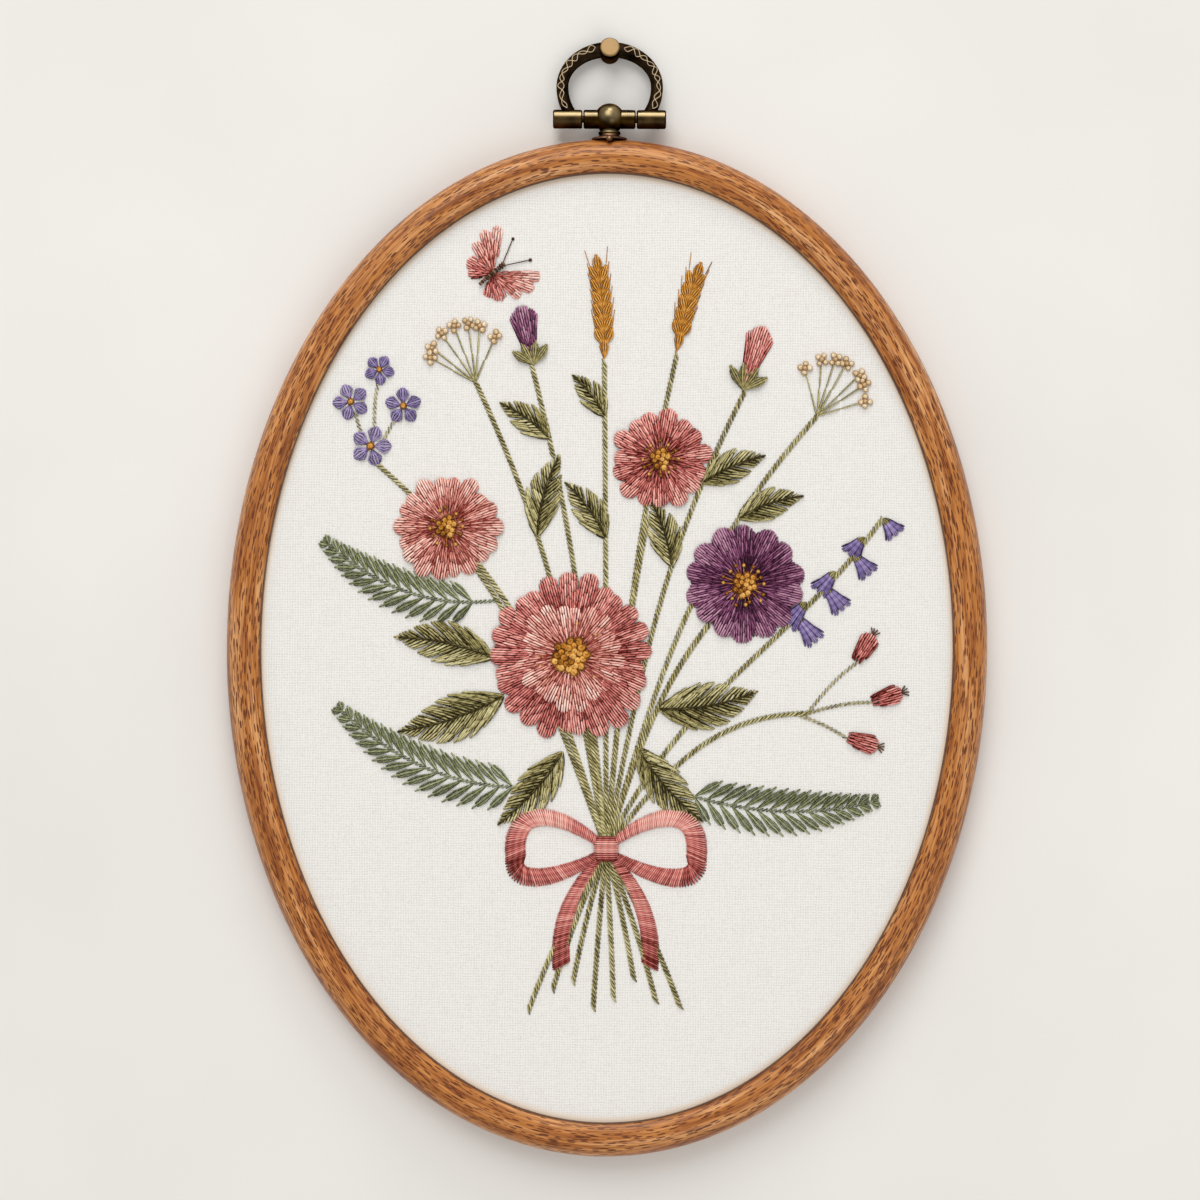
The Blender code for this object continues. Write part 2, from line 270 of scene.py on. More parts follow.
def oak_section():
    """Rounded back, a shoulder, a crown, and a lip that softens just before it drops to the linen."""
    under_lip = LINEN_TOP + GAP
    outline = arc((BACK_ROUND, BACK_ROUND), (BACK_ROUND, BACK_ROUND), 270, 180, 5)
    outline += arc((CROWN, SHOULDER), (CROWN, DEPTH - SHOULDER), 180, 90, 20)
    outline += arc((CROWN, LIP_EDGE), (LIP - CROWN, DEPTH - LIP_EDGE), 90, 6, 12)[1:]
    return outline + [LIP_CORNER, (LIP, under_lip), (WALL, under_lip), (WALL, 0.0)]


SECTION = oak_section()
TO_LIP = SECTION[:SECTION.index(LIP_CORNER) + 1]
LIP_LINE = sum(math.dist(a, b) for a, b in zip(TO_LIP, TO_LIP[1:]))
print(f"{len(SECTION)} points, and the lip's corner lies {LIP_LINE / MM:.1f} mm along them")


# %% Patterns that follow the grain
def grain(tree, round_hoop):
    """A place on the moulding that closes on itself: the way round as a turn of a circle, then the way
    across."""
    uv = add(tree, "ShaderNodeSeparateXYZ", {"Vector": add(tree, "ShaderNodeTexCoord").outputs["UV"]})
    turn = add(tree, "ShaderNodeMath", {"Value": uv.outputs["X"], "Value_001": 2 * math.pi / round_hoop},
               operation="MULTIPLY")
    east = add(tree, "ShaderNodeMath", {"Value": turn}, operation="COSINE")
    north = add(tree, "ShaderNodeMath", {"Value": turn}, operation="SINE")
    return add(tree, "ShaderNodeCombineXYZ", {"X": east, "Y": north, "Z": uv.outputs["Y"]})


def figure(tree, place, round_hoop, along, across, slide=0.0, kind="ShaderNodeTexNoise", **settings):
    """A texture whose grains are so many mm long and wide. The slide keeps two figures from matching."""
    radius = round_hoop / (2 * math.pi * along * MM)
    stretched = add(tree, "ShaderNodeMapping", {"Vector": place, "Scale": (radius, radius, 1 / (across * MM)),
                                                "Location": (slide, 0.0, slide)})
    return add(tree, kind, {"Vector": stretched, "Scale": 1.0, **settings})


# %% Pores and a painted shade line
ROUND = {"oak": 0.695, "beech": 0.670}     # the way round each hoop where its map is measured, in metres


def oak_pores(tree, place):
    """How much of a pore a place has: long spindles that crowd where each year's wood began."""
    pores = figure(tree, place, ROUND["oak"], 3.3, 0.46, 7.7, kind="ShaderNodeTexVoronoi")
    crowd = figure(tree, place, ROUND["oak"], 22, 2.6, 1.3, Detail=1.0)
    limit = add(tree, "ShaderNodeMapRange", {"Value": crowd, "From Min": 0.35, "From Max": 0.65,
                                             "To Min": 0.345, "To Max": 0.44})
    inside = add(tree, "ShaderNodeMath", {"Value": limit, "Value_001": pores}, operation="SUBTRACT")
    return add(tree, "ShaderNodeMapRange", {"Value": inside, "From Min": 0.0, "From Max": 0.06,
                                            "To Max": 0.95})


def lip_shade_line(tree, place):
    """How dark the painted shade line is: a line along the lip's corner, where the oak meets the linen, that
    fades to both sides.
    """
    across = add(tree, "ShaderNodeSeparateXYZ", {"Vector": place}).outputs["Z"]
    past = add(tree, "ShaderNodeMath", {"Value": across, "Value_001": LIP_LINE}, operation="SUBTRACT")
    off_lip = add(tree, "ShaderNodeMath", {"Value": past}, operation="ABSOLUTE")
    return add(tree, "ShaderNodeMapRange", {"Value": off_lip, "From Min": 0.65 * MM, "From Max": 1.25 * MM,
                                            "To Min": 0.94, "To Max": 0.0})


# %% Oak finish
def oiled_oak():
    """Oak, sanded and oiled: warm tan with a satin shine, slow bands of early wood and fine long dark pores.
    A line along the edge of the lip is painted dark as shade."""
    material, tree, shader = new_material("oiled_oak", Roughness=0.36, Specular_IOR_Level=0.60,
                                          Specular_Tint="#f9e6cf")
    place = grain(tree, ROUND["oak"])
    bands = figure(tree, place, ROUND["oak"], 34, 1.9, Detail=3.0, Distortion=0.3)
    tan = add(tree, "ShaderNodeValToRGB", {"Fac": bands},
              stops=[(0.30, "#965626"), (0.70, "#e2b07e"), (0.50, "#c48342")])
    streaks = figure(tree, place, ROUND["oak"], 9, 0.42, 3.1, Detail=2.0, Roughness=0.6)
    shade = add(tree, "ShaderNodeValToRGB", {"Fac": streaks}, stops=[(0.34, "#a8744a"), (0.58, "#fff6ea")])
    wood = add(tree, "ShaderNodeMix", {"Factor": 0.85, "A": tan, "B": shade}, data_type="RGBA",
               blend_type="MULTIPLY")
    pore = oak_pores(tree, place)
    pored = add(tree, "ShaderNodeMix", {"Factor": pore, "A": wood, "B": "#5c2404"}, data_type="RGBA")
    # painted shade: a dark line along the lip, where the oak meets the linen
    add(tree, "ShaderNodeMix", {"Factor": lip_shade_line(tree, place), "A": pored, "B": "#3c1a08"},
        shader.inputs["Base Color"], data_type="RGBA")
    depth = add(tree, "ShaderNodeMath", {"Value": 1.0, "Value_001": pore}, operation="SUBTRACT")
    add(tree, "ShaderNodeBump", {"Height": depth, "Strength": 0.2, "Distance": 0.1 * MM},
        shader.inputs["Normal"])
    return material


# %% Oak hoop
oak_hoop = moulding("oak_hoop", SECTION, oiled_oak())
dress(oak_hoop, "oiled_oak", "outer_hoop")

# %% [markdown]
# ## The inner hoop
# A plain strip of beech on edge, which only the back shows. It is made the same way as the oak hoop. Beech
# is pale and even, with short dark flecks, and it was left bare, so it has no shine.

# %% Inner hoop
def bare_beech():
    """Beech, planed and left bare: pale, dry and even, with short flecks along the grain."""
    material, tree, shader = new_material("bare_beech", Roughness=0.62)
    place = grain(tree, ROUND["beech"])
    bands = figure(tree, place, ROUND["beech"], 45, 1.6, Detail=3.0)
    pale = add(tree, "ShaderNodeValToRGB", {"Fac": bands}, stops=[(0.35, "#cfa579"), (0.65, "#e2c199")])
    flecks = figure(tree, place, ROUND["beech"], 2.2, 0.3, 5.0)
    fleck = add(tree, "ShaderNodeMapRange", {"Value": flecks, "From Min": 0.62, "From Max": 0.70})
    add(tree, "ShaderNodeMix", {"Factor": fleck, "A": pale, "B": "#a67447"}, shader.inputs["Base Color"],
        data_type="RGBA")
    add(tree, "ShaderNodeBump", {"Height": bands, "Strength": 0.25, "Distance": 0.1 * MM},
        shader.inputs["Normal"])
    return material


inner_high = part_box("inner_hoop")[1]
INNER_SIDE = OVAL[0] - inner_high.x
INNER_WIDTH = 4.6 * MM
EASE = 0.8 * MM                    # how round the corner is that the linen bends over


def beech_section():
    """A strip on edge. The corner that the linen bends over is eased twice as much as the others."""
    inner, small = INNER_SIDE + INNER_WIDTH, EASE / 2
    outline = arc((INNER_SIDE + EASE, inner_high.z - EASE), (EASE, EASE), 180, 90, 5)
    for corner, start in (((inner - small, inner_high.z - small), 90), ((inner - small, small), 0),
                          ((INNER_SIDE + small, small), -90)):
        outline += arc(corner, (small, small), start, start - 90, 3)
    return outline


beech_hoop = moulding("beech_hoop", beech_section(), bare_beech())
dress(beech_hoop, "plain_beech", "inner_hoop")

# %% [markdown]
# ## The linen
# One oval of linen, pulled drum-tight over the inner hoop. Its edge turns down and is gripped between the
# hoops. The real cloth is 0.4 mm thick and is drawn at 0.8 mm, which nearly fills its CAD solid. A
# simulated sheet would only fall flat here: tension is what shapes it, so its small waves are given. They
# are soft pulls that run in from the rim, and a shallow dip where a hand has pressed on the middle.

# %% The weave
WEAVE = 0.65 * MM                  # real linen has a thread every 0.45 mm: drawn wider, to show


def plain_weave(tree, place):
    """The height of the cloth's threads, 0 to 1: one set each way, uneven, with slubs along them."""
    wander = add(tree, "ShaderNodeTexNoise", {"Vector": place, "Scale": 1 / (4 * MM), "Detail": 1.0})
    shift = add(tree, "ShaderNodeVectorMath", {
        "Vector": wander.outputs["Color"], "Vector_001": (0.9 * WEAVE,) * 3, "Vector_002": place},
        operation="MULTIPLY_ADD")
    apart = add(tree, "ShaderNodeSeparateXYZ", {"Vector": shift})
    ridges, slubs = [], []
    for axis, wide, high in (("X", 0.7, 7), ("Y", 6, 0.7)):        # a slub's size, in mm
        phase = add(tree, "ShaderNodeMath", {"Value": apart.outputs[axis], "Value_001": math.pi / WEAVE},
                    operation="MULTIPLY")
        wave = add(tree, "ShaderNodeMath", {"Value": phase}, operation="SINE")
        ridges.append(add(tree, "ShaderNodeMath", {"Value": wave}, operation="ABSOLUTE"))
        stretched = add(tree, "ShaderNodeMapping", {
            "Vector": place, "Scale": (1 / (wide * MM), 1 / (high * MM), 1.0)})
        slubs.append(add(tree, "ShaderNodeTexNoise", {"Vector": stretched, "Scale": 1.0, "Detail": 1.0}))
    cover = add(tree, "ShaderNodeMath", {"Value": ridges[0], "Value_001": ridges[1]}, operation="MAXIMUM")
    slub = add(tree, "ShaderNodeMix", {"Factor": 0.55, "A": slubs[0], "B": slubs[1]}, data_type="FLOAT")
    grains = add(tree, "ShaderNodeTexNoise", {"Vector": place, "Scale": 1 / (0.45 * MM), "Detail": 1.0})
    yarn = add(tree, "ShaderNodeMix", {"Factor": 0.62, "A": slub, "B": grains}, data_type="FLOAT")
    return add(tree, "ShaderNodeMix", {"Factor": 0.60, "A": cover, "B": yarn}, data_type="FLOAT")


# %% Linen finish
def painted_oak_glow(tree, place):
    """How much painted warm glow, as of light bounced from the oak, the cloth gets: 0 over most of it, and 1
    where it meets the lip.
    """
    centred = add(tree, "ShaderNodeMapping", {"Vector": place, "Location": MIDDLE}, vector_type="TEXTURE")
    to_lip = (1 / (OVAL[0] - LIP), 1 / (OVAL[1] - LIP), 0.0)
    oval = add(tree, "ShaderNodeVectorMath", {"Vector": centred, "Vector_001": to_lip}, operation="MULTIPLY")
    reach = add(tree, "ShaderNodeVectorMath", {"Vector": oval}, operation="LENGTH")
    return add(tree, "ShaderNodeMapRange", {"Value": reach.outputs["Value"], "From Min": 0.984,
                                            "From Max": 1.0})


def white_linen():
    """Bleached linen in plain weave: matt, off-white, uneven threads both ways, and a painted warm glow, as
    of light bounced from the oak, where it meets the oak."""
    material, tree, shader = new_material("white_linen", Roughness=0.9, Specular_IOR_Level=0.2,
                                          Sheen_Weight=0.08)
    place = add(tree, "ShaderNodeTexCoord").outputs["Object"]
    height = plain_weave(tree, place)
    thread = add(tree, "ShaderNodeValToRGB", {"Fac": height}, stops=[(0.32, "#d1cecb"), (0.72, "#f0efed")])
    # painted light: a peach glow, as if bounced from the oak, along the rim
    add(tree, "ShaderNodeMix", {"Factor": painted_oak_glow(tree, place), "A": thread, "B": "#f4dfc9"},
        shader.inputs["Base Color"], data_type="RGBA")
    add(tree, "ShaderNodeBump", {"Height": height, "Strength": 0.45, "Distance": 0.12 * MM},
        shader.inputs["Normal"])
    return material


# %% The linen's surface
LINEN_THICK = 0.8 * MM
LINEN_SIDE = 3.7 * MM              # inset of the turned-down edge
LINEN_BEND = 1.4 * MM              # radius of the bend over the inner hoop
LINEN_EDGE = 0.8 * MM              # height at which the edge ends
CLOTH_RINGS = 46
CLOTH_STEPS = 224
HOLLOW, FOLD = 0.10, 0.018         # how deep the dip and each pull are, in mm


def pull(turn, share):
    """How far the cloth dips: pulls that fade in from the rim, and a shallow hollow in the middle."""
    angle = 2 * math.pi * turn
    folds = sum(math.sin(count * angle + phase) for count, phase in ((9, 0.4), (14, 1.9), (23, 4.0)))
    hollow = (1 - share * share) * HOLLOW
    return -(hollow + FOLD * folds * share ** 3) * MM


def linen_surface(drop):
    """Rows of points from the middle out, over the bend and down, sunk by a drop into the cloth."""
    bend = arc((LINEN_SIDE + LINEN_BEND, LINEN_TOP - LINEN_BEND), (LINEN_BEND - drop,) * 2, 90, 180, 6)
    flat_edge = LINEN_SIDE + LINEN_BEND
    rows = []
    for i in range(1, CLOTH_RINGS + 1):
        share = i / (CLOTH_RINGS + 1)
        row = []
        for step in range(CLOTH_STEPS):
            rim = oval_place(step / CLOTH_STEPS, flat_edge, 0.0)
            sag = pull(step / CLOTH_STEPS, share) * min(1.0, (1 - share) * 9)      # none at the bend itself
            row.append(MIDDLE.lerp(rim, share) + Vector((0, 0, LINEN_TOP - drop + sag)))
        rows.append(row)
    for inset, height in bend + [(LINEN_SIDE + drop, LINEN_EDGE)]:
        rows.append([oval_place(step / CLOTH_STEPS, inset, height) for step in range(CLOTH_STEPS)])
    return rows


# %% Linen sheet
def linen_sheet():
    """The cloth's two faces, closed at the middle and along the edge."""
    bm = bmesh.new()
    sides = []
    for drop in (0.0, LINEN_THICK):
        rows = [[bm.verts.new(point) for point in row] for row in linen_surface(drop)]
        centre = bm.verts.new(MIDDLE + Vector((0, 0, LINEN_TOP - drop + pull(0, 0))))
        for step in range(CLOTH_STEPS):
            after = (step + 1) % CLOTH_STEPS
            bm.faces.new((centre, rows[0][step], rows[0][after]))
            for near, far in zip(rows, rows[1:]):
                bm.faces.new((near[step], far[step], far[after], near[after]))
        sides.append(rows[-1])
    for step in range(CLOTH_STEPS):
        after = (step + 1) % CLOTH_STEPS
        bm.faces.new((sides[0][step], sides[1][step], sides[1][after], sides[0][after]))
    return link_mesh("linen_sheet", bm, white_linen(), smooth_under=60)


linen = linen_sheet()
dress(linen, "white_linen", "linen")

# %% [markdown]
# ## The brass hanger
# The post, the pin, the ring and its stud are turned and bent brass, dipped dark and then rubbed, so that
# the corners are pale again. The side that faces the windows is painted pale as a highlight: a thin line
# on the bar, broad on the ball and the flange. The flange's coppery colour is a painted reflection of the
# oak, and the stud is pale on its head with painted shade on its side. The CAD solids of the pin, the ring
# and the stud are only refined: loose triangles are merged, flat ones joined, and each corner gets a fine
# round that catches the light. The post's ball mirrors the window, and a mirror shows every facet, so the
# post is turned anew from its profile in finer steps. Where a corner is proud is stored on the mesh as
# "wear", which the finish reads. That wear follows the shape alone and is the same on every side.

# %% Aged brass finish
PAINTED_HIGHLIGHT_WAY = (0.04, 0.46, 0.89)    # the way that a side faces which gets the painted highlight: towards the windows and the camera
GLANCING = "#9c7840"               # brass stays brown at a glancing angle, where a clean metal turns white


def aged_brass(name, dark, mid, pale, roughness, painted_highlight=0.0, reach=0.86):
    """Brass with a patina: dark in the hollows, and back to pale metal on its worn corners. On the side that
    faces the painted highlight's way it is painted pale as a highlight, so it stays darker underneath; the
    reach is the cosine of the angle at which that highlight ends."""
    material, tree, shader = new_material(name, Metallic=1.0, Specular_Tint=GLANCING)
    coordinates = add(tree, "ShaderNodeTexCoord")
    place = coordinates.outputs["Object"]
    patches = add(tree, "ShaderNodeTexNoise", {"Vector": place, "Scale": 1 / (3.5 * MM), "Detail": 2.0})
    patina = add(tree, "ShaderNodeValToRGB", {"Fac": patches}, stops=[(0.35, dark), (0.66, mid)])
    wear = add(tree, "ShaderNodeAttribute", attribute_name="wear")
    corners = add(tree, "ShaderNodeMapRange", {"Value": wear.outputs["Fac"], "From Min": 0.10,
                                               "From Max": 0.45})
    facing = add(tree, "ShaderNodeVectorMath", {
        "Vector": coordinates.outputs["Normal"], "Vector_001": PAINTED_HIGHLIGHT_WAY}, operation="DOT_PRODUCT")
    # painted highlight: pale metal on the side that faces the windows
    face = add(tree, "ShaderNodeMapRange", {
        "Value": facing.outputs["Value"], "From Min": reach, "From Max": 1.0, "To Max": painted_highlight},
        interpolation_type="SMOOTHSTEP")
    # worn corners and the painted highlight together
    rubbed = add(tree, "ShaderNodeMath", {"Value": corners, "Value_001": face}, operation="ADD")
    uneven = add(tree, "ShaderNodeMath", {"Value": rubbed, "Value_001": patches}, operation="MULTIPLY")
    share = add(tree, "ShaderNodeMath", {"Value": uneven, "Value_001": 1.7}, operation="MULTIPLY",
                use_clamp=True)
    add(tree, "ShaderNodeMix", {"Factor": share, "A": patina, "B": pale}, shader.inputs["Base Color"],
        data_type="RGBA")
    add(tree, "ShaderNodeMapRange", {"Value": patches, "From Min": 0.3, "From Max": 0.7,
                                     "To Min": roughness - 0.08, "To Max": roughness + 0.10},
        shader.inputs["Roughness"])
    scratches = add(tree, "ShaderNodeTexNoise", {"Vector": place, "Scale": 1 / (0.35 * MM), "Detail": 2.0})
    add(tree, "ShaderNodeBump", {"Height": scratches, "Strength": 0.05, "Distance": 0.05 * MM},
        shader.inputs["Normal"])
    return material


# %% Rounded corners and their wear
CORNER = 38                        # in degrees: brass faces that meet at more than this make a corner


def settle(piece):
    """Applies the piece's modifiers."""
    piece.data = bpy.data.meshes.new_from_object(piece.evaluated_get(bpy.context.evaluated_depsgraph_get()))
    piece.modifiers.clear()


def store_wear(mesh):
    """How far each point stands out from its neighbours: 0 on a flat or in a hollow, 1 on a sharp corner."""
    wear = [[] for _ in mesh.vertices]
    for edge in mesh.edges:
        for here, there in (edge.vertices, reversed(edge.vertices)):
            way = mesh.vertices[here].co - mesh.vertices[there].co
            wear[here].append(mesh.vertices[here].normal.dot(way.normalized()))
    kept = mesh.attributes.new("wear", "FLOAT", "POINT")
    kept.data.foreach_set("value", [max(0.0, sum(found) / max(1, len(found))) for found in wear])


def rounded(piece, width):
    """Rounds the piece's corners finely and stores how proud they stand."""
    bevel = piece.modifiers.new("round_off", "BEVEL")
    bevel.width = width
    bevel.segments = 2
    bevel.angle_limit = math.radians(CORNER)
    settle(piece)
    store_wear(piece.data)
    return piece


def second_tone(piece, material, belongs):
    """Gives another finish to the faces for which belongs(centre, normal) is true."""
    piece.data.materials.append(material)
    for face in piece.data.polygons:
        if belongs(face.center, face.normal):
            face.material_index = len(piece.data.materials) - 1
    return piece


# %% The brass of each part
# painted_highlight paints a pale highlight on the side facing the windows: a thin line on the bar, broad on
# the ball
old_brass = aged_brass("aged_brass", "#1d1003", "#3d2a0f", "#e6d0a0", 0.30, painted_highlight=0.30, reach=0.94)
ball_brass = aged_brass("ball_brass_painted_highlight", "#221503", "#503c17", "#e6d0a0", 0.32, painted_highlight=0.34, reach=0.50)
# the flange's coppery colour is a painted reflection of the oak, with a painted highlight as well
flange_brass = aged_brass("flange_brass_painted_reflection", "#3a2212", "#7a5236", "#d8ac8a", 0.40, painted_highlight=0.30, reach=0.50)
dark_brass = aged_brass("darkened_brass", "#120d08", "#2b2015", "#8f7648", 0.42)
bright_brass = aged_brass("rubbed_brass", "#d0b999", "#dcc8a8", "#efe3cc", 0.55)
worn_brass = aged_brass("worn_brass", "#947752", "#ac8f68", "#d0b992", 0.50)

# %% The post's sizes and profiles
pin_low, pin_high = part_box("hanger_pin")
PIVOT = (pin_low + pin_high) / 2
ALONG_X = Matrix.Rotation(math.pi / 2, 4, "Y")
ALONG_Y = Matrix.Rotation(-math.pi / 2, 4, "X")
HOOP_TOP = MIDDLE + Vector((0.0, OVAL[1], PIVOT.z))
# The post's radii, and how far up from the hoop their ends are:
BALL, BALL_UP = 3.75 * MM, 5.3 * MM
NECK, NECK_TOP, GROOVE = 2.45 * MM, 2.1 * MM, 2.3 * MM
COLLAR, COLLAR_LOW, COLLAR_TOP = 2.8 * MM, 1.3 * MM, 2.0 * MM
FLANGE, FLANGE_UP, FLANGE_FOOT = 4.4 * MM, 0.25 * MM, -0.2 * MM
SPIGOT, SPIGOT_FOOT = 1.0 * MM, -2.4 * MM
BARREL, BARREL_HALF, BORE = 2.35 * MM, 6.5 * MM, 1.2 * MM
BEAD, BEAD_PLACE = 0.85 * MM, MIDDLE + Vector((0.0, OVAL[1] - 0.5 * MM, 10.0 * MM))
CHAMFER = 0.3 * MM


def turned_body(name, profile, place, along, steps=64):
    """A closed body of old brass, turned from (radius, distance) pairs about an axis through the place."""
    bm = bmesh.new()
    corners = [bm.verts.new((radius, 0.0, distance)) for radius, distance in profile]
    edges = [bm.edges.new(pair) for pair in zip(corners, corners[1:])]
    bmesh.ops.spin(bm, geom=corners + edges, axis=(0.0, 0.0, 1.0), angle=2 * math.pi, steps=steps,
                   use_merge=True)
    bmesh.ops.remove_doubles(bm, verts=bm.verts, dist=0.001 * MM)
    bmesh.ops.transform(bm, matrix=Matrix.Translation(place) @ along, verts=bm.verts)
    return link_mesh(name, bm, old_brass, smooth_under=CORNER)


def post_profile():
    """Ball, groove, collar, flared flange and spigot: (radius, distance up from the hoop), from the top
    down."""
    collar_middle, collar_half = (COLLAR_LOW + COLLAR_TOP) / 2, (COLLAR_TOP - COLLAR_LOW) / 2
    profile = [(0.0, BALL_UP + BALL)]
    profile += arc((0.0, BALL_UP), (BALL, BALL), 87, -math.degrees(math.acos(GROOVE / BALL)), 26)
    profile += [(GROOVE, NECK_TOP + NECK - GROOVE), (NECK, NECK_TOP), (NECK, COLLAR_TOP)]
    profile += arc((COLLAR - CHAMFER, collar_middle), (CHAMFER, collar_half), 90, -80, 8)
    profile += arc((FLANGE, COLLAR_LOW), (FLANGE - COLLAR + CHAMFER, COLLAR_LOW - FLANGE_UP), 180, 270, 8)
    return profile + [(FLANGE, FLANGE_FOOT), (SPIGOT, FLANGE_FOOT), (SPIGOT, SPIGOT_FOOT), (0.0, SPIGOT_FOOT)]


def bar_profile(radius, half, chamfer):
    """A round bar with its ends chamfered."""
    return [(0.0, half), (radius - chamfer, half), (radius, half - chamfer), (radius, chamfer - half),
            (radius - chamfer, -half), (0.0, -half)]


# %% Post
brass_post = turned_body("brass_post", post_profile(), HOOP_TOP, ALONG_Y)
barrel = turned_body("barrel", bar_profile(BARREL, BARREL_HALF, CHAMFER), PIVOT, ALONG_X)
bead = turned_body("bead", arc((0, 0), (BEAD, BEAD), 90, -90, 10), BEAD_PLACE, ALONG_Y, steps=20)
bore = turned_body("bore", bar_profile(BORE, 2 * BARREL_HALF, 0.1 * MM), PIVOT, ALONG_X)
for tool, operation in ((barrel, "UNION"), (bead, "UNION"), (bore, "DIFFERENCE")):
    boolean = brass_post.modifiers.new(tool.name, "BOOLEAN")
    boolean.operation = operation
    boolean.object = tool
    boolean.solver = "EXACT"
    settle(brass_post)
    bpy.data.objects.remove(tool)
brass_post.data.set_sharp_from_angle(angle=math.radians(CORNER))
rounded(brass_post, 0.08 * MM)
second_tone(brass_post, ball_brass, lambda at, _: abs(at.x) < BALL and at.y > HOOP_TOP.y + COLLAR_LOW)
second_tone(brass_post, flange_brass, lambda at, _: at.y < HOOP_TOP.y + COLLAR_LOW)
dress(brass_post, "aged_brass", "hanger_post")


# %% Pin, ring and stud
KNUCKLE = 2.45 * MM                # radius about the pin's line that holds the ring's knuckles
SIDEWAYS = 0.6                     # a face of the stud whose normal rises by less belongs to its side, which gets painted shade


def refined_copy(node, name, material, width):
    """The CAD node's shape with merged faces and finely rounded corners."""
    bm = bmesh.new()
    bm.from_mesh(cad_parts[node].data)
    bmesh.ops.remove_doubles(bm, verts=bm.verts, dist=0.002 * MM)
    bmesh.ops.dissolve_limit(bm, angle_limit=math.radians(1.5), verts=bm.verts, edges=bm.edges)
    return rounded(link_mesh(name, bm, material, smooth_under=CORNER), width)


dress(refined_copy("hanger_pin", "brass_pin", dark_brass, 0.10 * MM), "aged_brass", "hanger_pin")
brass_stud = refined_copy("ring_stud", "brass_stud", worn_brass, 0.15 * MM)
# painted shade: the stud's side is darker than its pale head
second_tone(brass_stud, dark_brass, lambda _, normal: normal.z < SIDEWAYS)
dress(brass_stud, "rubbed_brass", "ring_stud")

# The knuckles look like the post, so they get its brass and its painted highlight.
brass_ring = refined_copy("hanging_ring", "brass_ring", dark_brass, 0.08 * MM)
second_tone(brass_ring, old_brass, lambda at, _: math.hypot(at.y - PIVOT.y, at.z - PIVOT.z) < KNUCKLE)
dress(brass_ring, "aged_brass", "hanging_ring")

# %% [markdown]
# ## Threads by Geometry Nodes
# Embroidery is one thing many times over: a thread that goes from needle hole to needle hole. Each stitch
# could be a curve object, but thousands of those would be slow. So the stitches of one colour are the edges
# of a single mesh of guide lines, with a thickness and a tone on each point, and a small tree winds a
# thread round each line. Each tree ends in real meshes, because an export leaves instances out. The raised
# wires on the hanging ring are wound in the same way.

# %% Tools for Geometry Nodes
def new_tree(name, **sizes):
    """A tree with named sizes that a modifier can set, and its input node and output node."""
    tree = bpy.data.node_groups.new(name, "GeometryNodeTree")
    tree.interface.new_socket("Geometry", in_out="INPUT", socket_type="NodeSocketGeometry")
    tree.interface.new_socket("Material", in_out="INPUT", socket_type="NodeSocketMaterial")
    for label, value in sizes.items():
        kind = "NodeSocketInt" if isinstance(value, int) else "NodeSocketFloat"
        tree.interface.new_socket(label, in_out="INPUT", socket_type=kind).default_value = value
    tree.interface.new_socket("Geometry", in_out="OUTPUT", socket_type="NodeSocketGeometry")
    print(f"tree {name}:", ", ".join(f"{label} {value:g}" for label, value in sizes.items()))
    return tree, tree.nodes.new("NodeGroupInput").outputs, tree.nodes.new("NodeGroupOutput").inputs


def end_tree(tree, given, result, shape):
    """The last steps of each tree: real meshes in place of instances, smooth, with the material."""
    real = add(tree, "GeometryNodeRealizeInstances", {"Geometry": shape})
    smooth = add(tree, "GeometryNodeSetShadeSmooth", {"Geometry": real})
    add(tree, "GeometryNodeSetMaterial", {"Geometry": smooth, "Material": given["Material"]},
        result["Geometry"])
    return tree


# %% Running a tree on guide lines
def run_tree(name, guide, tree, material, **sizes):
    """Runs a tree on a mesh of guides and keeps what it makes as a plain mesh."""
    piece = bpy.data.objects.new(name, guide)
    bpy.context.scene.collection.objects.link(piece)
    work = piece.modifiers.new("work", "NODES")
    work.node_group = tree
    for item in tree.interface.items_tree:
        if item.in_out == "INPUT" and item.name in sizes:
            work[item.identifier] = sizes[item.name]
        elif item.in_out == "INPUT" and item.name == "Material":
            work[item.identifier] = material
    settle(piece)
    return piece


def guide_lines(name, lines):
    """One mesh of loose edges from lines of (point, thickness, tone)."""
    points = [point for line in lines for point in line]
    edges, first = [], 0
    for line in lines:
        edges += [(first + i, first + i + 1) for i in range(len(line) - 1)]
        first += len(line)
    mesh = bpy.data.meshes.new(name)
    mesh.from_pydata([place for place, _, _ in points], edges, [])
    for label, column in (("thickness", 1), ("tone", 2)):
        kept = mesh.attributes.new(label, "FLOAT", "POINT")
        kept.data.foreach_set("value", [point[column] for point in points])
    return mesh


